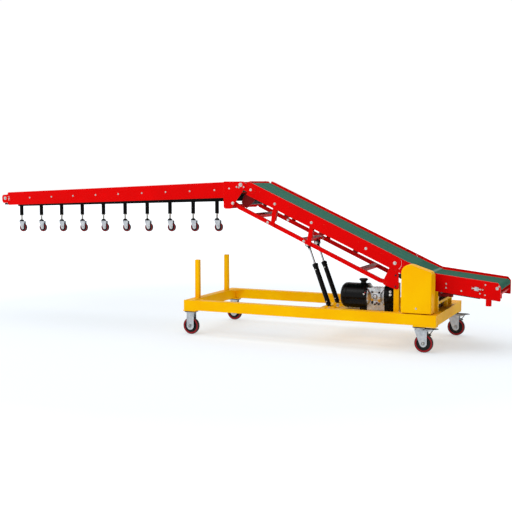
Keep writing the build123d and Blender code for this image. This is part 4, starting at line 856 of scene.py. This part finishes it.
for name, body, station in (("upper_struts", "upper_strut", drawing["strutStations"][0]),
                            ("lower_struts", "lower_strut", drawing["strutStations"][1])):
    head = Vector(inclinePoint(station, -drawing["strutDrop"]))
    foot = Vector(armPoint(station, -drawing["strutDrop"]))
    toe = foot + strut["offset"] * Vector((1, -math.tan(slope)))
    down = (toe - head).normalized()
    right = Vector((-down.y, down.x))
    half, footHalf = strut["half"], strut["footHalf"]
    arc = [math.pi * i / strut["arcSteps"] for i in range(strut["arcSteps"] + 1)]
    outline = [head + half * (math.cos(a) * right - math.sin(a) * down) for a in reversed(arc)]
    outline.append(meet(outline[-1], down, foot - footHalf * armUp, armWay))
    outline += [foot - footHalf * (math.cos(a) * armUp + math.sin(a) * armWay) for a in arc]
    outline.append(meet(outline[0], down, foot + footHalf * armUp, armWay))
    mesh = bmesh.new()
    lean = Matrix.Rotation(math.atan2(-down.x, -down.y), 4, "Y")
    low, high = strut["flange"]
    for side in bothSides:
        addPlate(mesh, outline, side * strut["inner"], side * strut["outer"])
        for way in bothSides:
            place = head + way * (half - strut["wall"] / 2) * right + (low + high) / 2 * down
            middle = side * (strut["inner"] + 0.3 - strut["flangeDepth"] / 2)
            addBlock(mesh, (strut["wall"], strut["flangeDepth"], high - low),
                     Matrix.Translation((place.x, middle, place.y)) @ lean, 1.0)
    channel = makePiece("channel_" + name, mesh, (redEnamel,), body, 30)
    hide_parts(name)


# Fasteners on the side plates, the arms and the base frame, by their stations on the drawing

boomFixings = {
    "domes": (-2762.2, -2427.2, -2081.2, -1748.2, -1406.6, -1072.0, -734.0, -400.2, -70.7, 258.6),
    "domeRise": 3.0, "gusset": ((454.4, 1704.6), (550.0, 1722.5), (578.2, 1718.0), (640.0, 1722.0)),
    "nose": (3428.0, 8.0), "besideNose": (62.0, 22.0)}
mesh = bmesh.new()
for side in bothSides:
    boomY, gussetY = side * drawing["boomSideY"], side * drawing["gussetY"]
    for x in boomFixings["domes"]:
        z = boomPoint((hinge[0] - x) / math.cos(droop), boomFixings["domeRise"])[1]
        domeBolt(mesh, outward(x, boomY, z), 11.0, 6.0)
    for x, z in boomFixings["gusset"]:
        domeBolt(mesh, outward(x, gussetY, z), 11.0, 6.0)
    # pins of the hinge and of the arms: washer and hexagon head
    for x, z, flats in ((*hinge, 24.0), (*armPoint(0.0), 19.0)):
        addHex(mesh, flats, 10.0, outward(x, gussetY, z), 0, 2.0)
    noseX, noseZ = boomPoint(*boomFixings["nose"])
    addHex(mesh, 22.0, 8.0, outward(noseX, boomY, noseZ), 0, 2.0)
    dx, dz = boomFixings["besideNose"]
    for z in (noseZ + dz, noseZ - dz):
        domeBolt(mesh, outward(noseX + dx, boomY, z), 8.0, 5.0)
makePiece("boom_bolts", mesh, (boltSteel,), "boom")

inclineFixings = {"hexes": [(s, -drawing["strutDrop"]) for s in drawing["strutStations"]] + [(1666.0, -2.0)],
                  "link": 139.0, "domes": (250.0, 653.0, 1117.0, 1560.0, 1850.0), "domeN": 26.0}
mesh = bmesh.new()
for side in bothSides:
    y = side * drawing["sideY"]
    for s, n in inclineFixings["hexes"]:
        x, z = inclinePoint(s, n)
        addHex(mesh, 16.0, 8.0, outward(x, y, z), 0, 1.8)
    x, z = inclinePoint(inclineFixings["link"], 0.0)
    addHex(mesh, 16.0, 6.0, outward(x, side * drawing["boomSideY"], z), 0, 1.6)
    for s in inclineFixings["domes"]:
        x, z = inclinePoint(s, inclineFixings["domeN"])
        domeBolt(mesh, outward(x, y, z), 7.0, 3.0, 1)
    pinX, pinZ = drawing["pivot"]
    addHex(mesh, 20.0, 9.0, outward(pinX, y, pinZ), 0, 2.0)
makePiece("incline_bolts", mesh, (boltSteel, redEnamel), "incline")

mesh = bmesh.new()
for side in bothSides:
    armY = side * drawing["armInnerY"]
    for s in drawing["strutStations"]:
        x, z = armPoint(s, -drawing["strutDrop"])
        addHex(mesh, 17.0, 7.0, facing((0, -side, 0), (x, armY, z)), 0, 1.6)
        addHex(mesh, 16.0, 6.0, outward(x, side * (strut["outer"] + 0.4), z), 0, 1.6)
    lowX, lowZ = armPoint(drawing["inclineLength"])
    addHex(mesh, 30.0, 9.0, facing((0, -side, 0), (lowX, armY, lowZ)), 1, 2.0)
makePiece("arm_bolts", mesh, (boltSteel, blackOxide), "arms")

baseFixings = {
    "tail": ((3003.4, 709.7), (3003.1, 667.0), (3165.2, 641.2), (3358.9, 623.9), (3413.5, 717.1),
             (3411.7, 609.9), (3528.5, 685.2), (3553.0, 706.0)),
    "bracket": ((2453.4, 774.6), (2452.8, 652.2)), "bracketY": 353.2, "feedRoller": (3534.0, 58.0),
    "guardKnob": (2755.5, -644.0, 466.2), "guardX": (2640.0, 2880.0), "guardZ": (480.0, 800.0),
    "guardY": -500.0}
mesh = bmesh.new()
for side in bothSides:
    y = side * drawing["sideY"]
    for x, z in baseFixings["tail"]:
        domeBolt(mesh, outward(x, y, z), 9.5, 5.5)
    for x, z in baseFixings["bracket"]:
        domeBolt(mesh, outward(x, side * baseFixings["bracketY"], z), 10.0, 5.0, 1)
    rollX, rollZ = tailPoint(*baseFixings["feedRoller"])
    addHex(mesh, 17.0, 6.0, outward(rollX, y, rollZ), 0, 2.0)
domeBolt(mesh, outward(*baseFixings["guardKnob"]), 11.0, 5.0)
for x in baseFixings["guardX"]:
    for z in baseFixings["guardZ"]:
        addHex(mesh, 15.0, 6.0, facing((0, 1, 0), (x, baseFixings["guardY"], z)), 0, 2.0)
makePiece("base_bolts", mesh, (boltSteel, blackOxide), "base")
print("stage 6: fasteners")

# take-up screws on the feed section
takeUp = {"x": 3325.0, "depth": 94.0, "y": 361.5, "turns": 26, "pitch": 4.0, "start": -52.0,
          "nuts": (-49.5, 20.0, 38.0)}
mesh = bmesh.new()
for side in bothSides:
    x, z = tailPoint(takeUp["x"], takeUp["depth"])
    spot = Matrix.Translation((x, side * takeUp["y"], z)) @ Matrix.Rotation(tailFall, 4, "Y")
    screw = spot @ Matrix.Rotation(math.pi / 2, 4, "Y")
    thread = []
    for turn in range(takeUp["turns"]):
        h = takeUp["start"] + turn * takeUp["pitch"]
        thread += [(6.1, h, 0), (6.9, h + 1.4, 0), (6.9, h + 2.2, 0), (6.1, h + 3.6, 0)]
    addTurned(mesh, thread, screw, 18)
    for h in takeUp["nuts"]:
        addTurned(mesh, [(6.0, h, 0), (12.5, h, 0), (12.5, h + 7.0, 0), (11.0, h + 8.5, 0),
                         (6.0, h + 8.5, 0)], screw, 6)
    addTurned(mesh, [(0, 60.0, 0), (11.0, 60.0, 0), (11.0, 68.0, 0), (9.5, 70.0, 0), (0, 70.0, 0)], screw, 6)
    addBlock(mesh, (44.0, 3.0, 40.0), spot @ Matrix.Translation((0, side * 8.2, 0)), 1.2, 1)
makePiece("take_up_screws", mesh, (boltSteel, zincPlate), "base")


# Power unit: tank, manifold block and motor on one axis along x

unit = {"y": -100.0, "axisZ": 502.5, "tankLeft": 1770.0, "tankRight": 2085.0, "blockRight": 2285.0,
        "tankRadius": 142.5, "motorZ": 532.5, "motorRadius": 122.5, "ring": 14.0, "bell": 36.0,
        "blockHalf": 88.0, "seams": (75.0, -27.0), "flange": -11.5, "lugs": (11.0, 12), "plugY": 136.0,
        "breather": (-22.0, 536.0), "levelPlug": (-10.0, 552.0), "cap": -70.0,
        "terminal": (75.0, -116.0, 40.0)}
tankR, motorR = unit["tankRadius"], unit["motorRadius"]


def alongX(x):
    return facing((1, 0, 0), (x, unit["y"], unit["axisZ"]))


# tank: rolled seams, the flange ring with its clamp lugs, a breather with a steel button and a red plug
mesh = bmesh.new()
for x in (unit["tankLeft"] + unit["seams"][0], unit["tankRight"] + unit["seams"][1]):
    addTurned(mesh, [(tankR, -6.0, 0), (tankR + 1.4, -4.0, 0), (tankR + 2.4, 0.0, 0), (tankR + 1.4, 4.0, 0),
                     (tankR, 6.0, 0)], alongX(x), 96)
addTurned(mesh, [(tankR, 0.0, 0), (tankR + 5.0, 1.0, 0), (tankR + 5.0, 9.5, 0), (tankR, 10.6, 0)],
          alongX(unit["tankRight"] + unit["flange"]), 96)
lugBack, lugTurn = unit["lugs"]
for angle in range(lugTurn, 360, 45):
    a = math.radians(angle)
    place = (unit["tankRight"] - lugBack, unit["y"] + (tankR + 1) * math.cos(a),
             unit["axisZ"] + (tankR + 1) * math.sin(a))
    addBlock(mesh, (14.0, 16.0, 12.0), Matrix.Translation(place) @ Matrix.Rotation(-a, 4, "X"), 2.0)
dx, z = unit["breather"]
breather = facing((0, -1, 0.1), (unit["tankRight"] + dx, unit["y"] - unit["plugY"], z))
addTurned(mesh, [(15.0, 0.0, 0), (15.0, 9.0, 0), (13.0, 11.0, 0), (11.0, 11.0, 0)], breather, 36)
addTurned(mesh, [(11.0, 9.0, 1), (11.0, 13.0, 1), (9.0, 15.0, 1), (0, 15.5, 1)], breather, 24)
dx, z = unit["levelPlug"]
levelPlug = facing((0, -1, 0.3), (unit["tankRight"] + dx, unit["y"] - unit["plugY"], z))
addTurned(mesh, [(6.0, 0.0, 2), (6.0, 8.0, 2), (5.0, 10.0, 2), (0, 10.5, 2)], levelPlug, 20)
makePiece("tank_trim", mesh, (blackEnamel, boltSteel, redCap), "base")

# filler cap: ribbed grip round the rim, a raised crown and the neck's collar
mesh = bmesh.new()
cap = Matrix.Translation((unit["tankRight"] + unit["cap"], unit["y"], unit["axisZ"] + tankR))
addTurned(mesh, [(28.3, 6.0, 0), (30.0, 10.0, 0), (30.4, 14.0, 0), (35.0, 22.0, 0), (43.0, 31.0, 0),
                 (48.0, 35.0, 0), (49.0, 37.0, 0), (49.0, 43.0, 0), (47.0, 47.0, 0), (40.5, 52.6, 0),
                 (30.0, 53.2, 0), (26.0, 51.8, 0), (0, 51.8, 0)], cap, 60)
for rib in ringSpots(cap, 30, 0.0, 49.2, 40.0):
    addBlock(mesh, (2.4, 4.0, 8.0), rib, 0.8)
addTurned(mesh, [(33.0, 0.2, 1), (36.0, 1.5, 1), (36.0, 5.5, 1), (33.5, 7.0, 1), (28.4, 7.0, 1)],
          cap @ Matrix.Translation((0, 0, -3.5)), 40)
makePiece("filler_cap_grip", mesh, (blackRubber, blackEnamel), "base")

# pump manifold: flared flanges with their studs, a skimmed near face with plugs, and webs on top.
# Pads give dx, dy, z, how much narrower they are than the face, depth, height and bevel,
# and plugs give dx, z, flats and finish
manifold = {
    "pads": ((0.0, -2.0, 510.0, 0.0, 8.0, 176.0, 3.0), (0.0, -6.0, 572.0, 22.0, 7.0, 36.0, 2.5),
             (4.0, -6.0, 440.0, 34.0, 7.0, 30.0, 2.5)),
    "plugs": ((-38.0, 560.0, 15.0, 3), (38.0, 556.0, 13.0, 3), (-40.0, 470.0, 17.0, 2),
              (38.0, 462.0, 19.0, 2), (-34.0, 442.0, 19.0, 3), (34.0, 500.0, 13.0, 1),
              (-8.0, 424.0, 12.0, 3), (36.0, 428.0, 14.0, 3), (-36.0, 532.0, 12.0, 1)),
    "plugDepth": -6.0, "recess": (-6.0, 508.0), "insulator": (14.0, -4.0, 438.0), "webPitch": 30.0,
    "webRise": 101.5}
mesh = bmesh.new()
for x, way in ((unit["tankRight"], 1), (unit["blockRight"], -1)):
    where = facing((way, 0, 0), (x, unit["y"], unit["axisZ"]))
    addTurned(mesh, [(118.0, -0.4, 0), (123.4, 0.6, 0), (125.4, 3.0, 0), (125.4, 10.5, 0), (123.4, 13.6, 0),
                     (116.0, 17.6, 0), (104.0, 28.0, 0), (99.0, 36.0, 0), (95.4, 48.0, 0), (93.0, 50.2, 0),
                     (80.0, 50.4, 0)], where, 96)
    for stud in ringSpots(where, 8, 20.0, 112.0, 17.0):
        addHex(mesh, 13.0, 7.0, stud, 1, 1.5)
faceY = unit["y"] - unit["blockHalf"]
blockX = (unit["tankRight"] + unit["blockRight"]) / 2
faceWidth = unit["blockRight"] - unit["tankRight"] - 2 * (unit["ring"] + unit["bell"])
for dx, dy, z, narrower, depth, height, bevel in manifold["pads"]:
    addBlock(mesh, (faceWidth - narrower, depth, height), Matrix.Translation((blockX + dx, faceY + dy, z)),
             bevel, 0, 3)
# hexagonal cap inside a raised black-oxide ring, painted shade that stands for a milled recess
dx, z = manifold["recess"]
centre = facing((0, -1, 0), (blockX + dx, faceY + manifold["plugDepth"], z))
addTurned(mesh, [(30.0, -0.5, 3), (31.0, 1.0, 3), (25.0, 1.2, 3), (24.0, -0.5, 3)], centre, 6)
addTurned(mesh, [(20.0, -0.5, 0), (20.0, 9.0, 0), (17.0, 11.0, 0), (9.0, 11.0, 0), (8.0, 5.0, 0),
                 (0, 5.0, 0)], centre, 6)
for dx, z, flats, finish in manifold["plugs"]:
    plug = facing((0, -1, 0), (blockX + dx, faceY + manifold["plugDepth"], z))
    addHex(mesh, flats, 9.0, plug, finish, 2.0, flats * 0.22)
# insulated terminal on the lower near face
dx, dy, z = manifold["insulator"]
addTurned(mesh, [(13.0, -2.0, 4), (13.0, 12.0, 4), (11.0, 14.0, 4), (0, 14.4, 4)],
          facing((0, -1, 0), (blockX + dx, faceY + dy, z)), 32)
for i in (-1, 0, 1):
    addBlock(mesh, (6.0, 2 * unit["blockHalf"] - 24.0, 6.0),
             Matrix.Translation((blockX + i * manifold["webPitch"], unit["y"],
                                 unit["axisZ"] + manifold["webRise"])), 2.0)
makePiece("manifold_dress", mesh, (castAluminium, boltSteel, yellowBrass, blackOxide, brownInsulator), "base")

# motor: band clamp, end shield with its vents and screws, and two terminals
mesh = bmesh.new()
where = facing((1, 0, 0), (unit["blockRight"], unit["y"], unit["motorZ"]))
addTurned(mesh, [(motorR, 4.0, 0), (motorR + 2.2, 6.0, 0), (motorR + 2.2, 16.0, 0), (motorR, 18.0, 0)],
          where, 96)
addTurned(mesh, [(motorR - 16.0, 129.0, 0), (motorR - 20.0, 131.4, 0), (60.0, 132.6, 0), (58.0, 136.0, 0),
                 (30.0, 137.0, 0), (28.0, 140.0, 0), (0, 140.4, 0)], where, 72)
for vent in ringSpots(where, 12, 0.0, 82.0, 133.0):
    addBlock(mesh, (30.0, 7.0, 3.0), vent, 1.2, 2)
for screw in ringSpots(where, 4, 45.0, motorR - 26.0, 130.5):
    addHex(mesh, 13.0, 6.0, screw, 1, 1.5)
dx, dy, dz = unit["terminal"]
for drop in (0.0, 34.0):
    stud = facing((0, -1, 0.35), (unit["blockRight"] + dx, unit["y"] + dy, unit["motorZ"] + dz - drop))
    addTurned(mesh, [(15.0, -3.0, 2), (15.0, 5.0, 2), (12.0, 8.0, 2), (6.0, 8.0, 1), (6.0, 20.0, 1),
                     (0, 20.5, 1)], stud, 20)
    addHex(mesh, 15.0, 6.0, stud @ Matrix.Translation((0, 0, 8.5)), 1, 1.5)
makePiece("motor_trim", mesh, (blackEnamel, boltSteel, blackRubber), "base")
print("stage 7: power unit")


# Lift cylinders: barrel, rod's eye and foot pin on each side

cylinder = {"foot": (1632.0, 340.0), "head": (1362.0, 1066.0), "y": 150.0, "barrelR": 28.0,
            "ports": (84.0, 470.0), "footPinY": 32.0}
footX, footZ = cylinder["foot"]
headX, headZ = cylinder["head"]
reach = math.hypot(headX - footX, headZ - footZ)
for sideName, side in (("near", -1), ("far", 1)):
    y = side * cylinder["y"]
    lean = facing(((headX - footX) / reach, 0, (headZ - footZ) / reach), (footX, y, footZ))
    mesh = bmesh.new()
    r = cylinder["barrelR"]
    # weld bead of the base cap, gland ring and nut, wiper lip and two hose ports
    addTurned(mesh, [(r, 44.0, 0), (r + 2.6, 46.0, 0), (r + 3.4, 50.0, 0), (r + 2.6, 54.0, 0), (r, 56.0, 0)],
              lean, 40)
    addTurned(mesh, [(r, 486.0, 0), (r + 3.0, 489.0, 0), (r + 3.0, 499.0, 0), (r, 502.0, 0)], lean, 40)
    addTurned(mesh, [(r + 5.2, 507.0, 0), (r + 6.8, 509.0, 0), (r + 6.8, 536.0, 0), (r + 4.0, 540.4, 0),
                     (20.0, 540.4, 0)], lean, 12)
    addTurned(mesh, [(20.4, 540.2, 1), (19.2, 543.6, 1), (16.6, 545.0, 1), (14.3, 545.0, 1)], lean, 36)
    for station in cylinder["ports"]:
        port = lean @ Matrix.Translation((0, 0, station)) @ Matrix.Rotation(math.pi / 2, 4, "Y")
        addTurned(mesh, [(11.0, r - 4.0, 0), (11.0, r + 8.0, 0), (10.0, r + 9.0, 0), (0, r + 9.0, 0)],
                  port, 24)
        addHex(mesh, 15.0, 7.0, port @ Matrix.Translation((0, 0, r + 9.0)), 2)
    makePiece("barrel_dress_" + sideName, mesh, (blackEnamel, blackRubber, boltSteel), "barrel_" + sideName)
    # eye at the rod's end: jam nut, forged collar and the eye's bush
    mesh = bmesh.new()
    addTurned(mesh, [(14.1, reach - 62.0, 1), (20.0, reach - 61.0, 1), (20.0, reach - 49.0, 1),
                     (14.1, reach - 48.0, 1)], lean, 6)
    addTurned(mesh, [(14.1, reach - 47.0, 0), (17.0, reach - 45.0, 0), (19.5, reach - 32.0, 0),
                     (19.5, reach - 20.0, 0)], lean, 36)
    addTurned(mesh, [(24.2, -27.8, 0), (25.0, -26.0, 0), (25.0, 26.0, 0), (24.2, 27.8, 0)],
              facing((0, 1, 0), (headX, y, headZ)), 40)
    makePiece("rod_eye_dress_" + sideName, mesh, (blackEnamel, boltSteel), "rod_" + sideName)
    mesh = bmesh.new()
    for way in bothSides:
        pin = facing((0, way, 0), (footX, y + way * cylinder["footPinY"], footZ))
        addTurned(mesh, [(12.2, -0.4, 0), (20.0, 0.2, 0), (20.0, 3.0, 0), (13.0, 3.4, 0), (13.0, 7.5, 0),
                         (11.0, 9.0, 0), (0, 9.0, 0)], pin, 28)
    makePiece("foot_pin_dress_" + sideName, mesh, (boltSteel,), "base")
print("stage 8: cylinders")

# forged clevis cheeks over the lugs that hold the rods' eyes
clevis = {"round": 26.5, "inner": 29.3, "outer": 41.0, "edge": 1.5, "crossWidth": 52.0, "crossHeight": 25.0,
          "faceShare": 0.95, "pin": 14.6}


def hullOf(points):
    # the convex outline round a set of (x, z) points, in order
    ordered = sorted(points)
    outline = []
    for row in (ordered, ordered[::-1]):
        chain = []
        for p in row:
            while len(chain) > 1 and ((chain[-1][0] - chain[-2][0]) * (p[1] - chain[-2][1])
                                      - (chain[-1][1] - chain[-2][1]) * (p[0] - chain[-2][0])) <= 0:
                chain.pop()
            chain.append(p)
        outline += chain[:-1]
    return outline


lugStation = (headX + drawing["armShift"][0] - hinge[0]) / math.cos(slope)
cheekPoints = [(headX + clevis["round"] * math.cos(a), headZ + clevis["round"] * math.sin(a))
               for a in (2 * math.pi * i / 36 for i in range(36))]
cheekPoints += [armPoint(lugStation + ds * clevis["crossWidth"] / 2,
                         dn * clevis["crossHeight"] / 2 - drawing["armSag"])
                for ds in bothSides for dn in bothSides]
cheek = hullOf(cheekPoints)
centreX, centreZ = [sum(values) / len(cheek) for values in zip(*cheek)]
mesh = bmesh.new()
for side in bothSides:
    for way in bothSides:
        y = side * cylinder["y"]
        rings = []
        for share, out in ((1.0, clevis["inner"]), (1.0, clevis["outer"] - clevis["edge"]),
                           (clevis["faceShare"], clevis["outer"])):
            rings.append([mesh.verts.new((centreX + (x - centreX) * share, y + way * out,
                                          centreZ + (z - centreZ) * share)) for x, z in cheek])
        addLoft(mesh, rings)
        pin = facing((0, way, 0), (headX, y + way * clevis["outer"], headZ))
        pinR = clevis["pin"]
        addTurned(mesh, [(pinR + 5.0, -0.4, 1), (pinR + 5.0, 2.0, 1), (pinR, 2.4, 1), (pinR, 5.8, 1),
                         (pinR - 2.0, 7.4, 1), (0, 7.6, 1)], pin, 32)
makePiece("clevis_cheeks", mesh, (blackEnamel, boltSteel), "arms")


# Welds of the frame and of the lift arms

weld = {"ripple": 7.0, "swell": 0.5, "crossBeams": (1540.0, 1735.0, 2330.0, 2460.0), "beamHalf": 40.0,
        "beamZ": (292.0, 338.0), "beamTop": 340.3, "frameInner": 550.0, "corners": (100.0, 2870.0),
        "cornerZ": (293.0, 392.0), "postX": (25.0, 75.0), "postY": 390.0, "postHalf": 25.0, "postZ": 405.4,
        "armStations": (300.0, 1700.0), "armHalf": 25.0, "armRise": 18.0}


def addWeld(mesh, start, end, radius):
    # a fillet weld: overlapping ripples along a seam
    start, seam = Vector(start), Vector(end) - Vector(start)
    count = max(4, int(seam.length / weld["ripple"]))
    profile = []
    for i in range(count + 1):
        swell = weld["swell"] * noise.noise(Vector((i * 0.9, start.x * 0.01, 0.5)))
        profile.append((radius * (1 + swell), seam.length * i / count, 0))
    rings = addTurned(mesh, profile, facing(seam, start), 6)
    for ring in (rings[0], rings[-1]):
        mesh.faces.new(ring)


mesh = bmesh.new()
inner = weld["frameInner"]
for x in weld["crossBeams"]:
    left, right = x - weld["beamHalf"], x + weld["beamHalf"]
    for side in bothSides:
        for edgeX in (left, right):
            addWeld(mesh, *[(edgeX, side * inner, z) for z in weld["beamZ"]], 2.6)
        addWeld(mesh, *[(edgeX, side * (inner - 0.5), weld["beamTop"]) for edgeX in (left, right)], 2.6)
for x in weld["corners"]:
    for side in bothSides:
        addWeld(mesh, *[(x, side * inner, z) for z in weld["cornerZ"]], 3.0)
left, right = weld["postX"]
for x in weld["postX"]:
    for side in bothSides:
        near, far = [side * weld["postY"] + way * weld["postHalf"] for way in bothSides]
        for y in (near, far):
            addWeld(mesh, (left, y, weld["postZ"]), (right, y, weld["postZ"]), 2.6)
        addWeld(mesh, (x, near, weld["postZ"]), (x, far, weld["postZ"]), 2.6)
makePiece("frame_welds", mesh, (yellowEnamel,), "base", 60)

mesh = bmesh.new()
for side in bothSides:
    for s in weld["armStations"]:
        for way in bothSides:
            x, z = armPoint(s + way * weld["armHalf"], -drawing["armSag"])
            armY = side * (drawing["armInnerY"] - 0.5)
            addWeld(mesh, (x, armY, z - weld["armRise"]), (x, armY, z + weld["armRise"]), 2.4)
makePiece("arm_welds", mesh, (redEnamel,), "arms", 60)


# Studio: pale floor and soft light

studio = {"floorHalf": 60.0, "floorTone": "#BFC8D0", "floorDeep": "#BBC4CC", "worldPower": 1.02,
          "shadeSide": 0.35, "lift": (0.46, 0.85), "liftBand": (4.0, 9.0)}
floorData = bpy.data.meshes.new("studioFloor")
half = studio["floorHalf"]
floorData.from_pydata([(-half, -half, 0), (half, -half, 0), (half, half, 0), (-half, half, 0)], [],
                      [(0, 1, 2, 3)])
studioFloor = bpy.data.objects.new("studioFloor", floorData)
bpy.context.scene.collection.objects.link(studioFloor)
# the sweep is lit through from below, more so away from the machine, so that its shadows stay pale
# and its horizon melts
floorPaint, tree, shader, where = newMaterial("matPaleSweep", {
    "Roughness": 0.9, "Specular IOR Level": 0.0, "Emission Color": (1.0, 1.0, 1.0, 1.0)})
fromMiddle = addNode(tree, "ShaderNodeVectorMath", {"operation": "LENGTH"}, {0: where}).outputs["Value"]
lift = addNode(tree, "ShaderNodeMapRange", span(studio["liftBand"], studio["lift"]), {"Value": fromMiddle})
tree.links.new(lift.outputs[0], shader.inputs["Emission Strength"])
sweep = addNode(tree, "ShaderNodeTexNoise", {"Scale": 0.4, "Detail": 2.0}, {"Vector": where})
tree.links.new(tint(tree, studio["floorDeep"], studio["floorTone"], sweep), shader.inputs["Base Color"])
floorData.materials.append(floorPaint)

world = bpy.data.worlds.new("studioWorld")
world.use_nodes = True
tree = world.node_tree
background = tree.nodes["Background"]
background.inputs["Color"].default_value = (1.0, 1.0, 1.0, 1.0)
# the feed end's side of the studio is dimmer, as the photograph's shaded end faces show, while its
# backdrop stays white
direction = addNode(tree, "ShaderNodeSeparateXYZ", None,
                    {0: addNode(tree, "ShaderNodeTexCoord").outputs["Generated"]})
power = addNode(tree, "ShaderNodeMapRange", span((-0.05, 0.5), (studio["worldPower"], studio["shadeSide"])),
                {"Value": direction})
seen = addNode(tree, "ShaderNodeLightPath").outputs["Is Camera Ray"]
brighter = addNode(tree, "ShaderNodeMath", {"operation": "MAXIMUM"}, {0: power, 1: seen})
tree.links.new(brighter.outputs[0], background.inputs["Strength"])
bpy.context.scene.world = world
bpy.context.scene.view_settings.view_transform = "Standard"

softBoxes = {  # place, aim, size in metres and power in watts
    "keyBox": ((-3.5, -6.5, 7.5), (0.0, 0.0, 0.8), (6.0, 4.0), 170.0),
    "topBox": ((1.0, 1.0, 8.0), (0.5, 0.0, 0.5), (9.0, 5.0), 120.0),
    "rimBox": ((7.0, 5.5, 4.5), (1.5, 0.0, 0.8), (3.0, 4.0), 30.0)}
for name, (place, aim, size, watts) in softBoxes.items():
    lamp = bpy.data.lights.new(name, "AREA")
    lamp.shape = "RECTANGLE"
    lamp.size, lamp.size_y = size
    lamp.energy = watts
    box = bpy.data.objects.new(name, lamp)
    bpy.context.scene.collection.objects.link(box)
    box.location = place
    box.rotation_euler = (Vector(aim) - Vector(place)).to_track_quat("-Z", "Y").to_euler()
print("stage 9: studio")
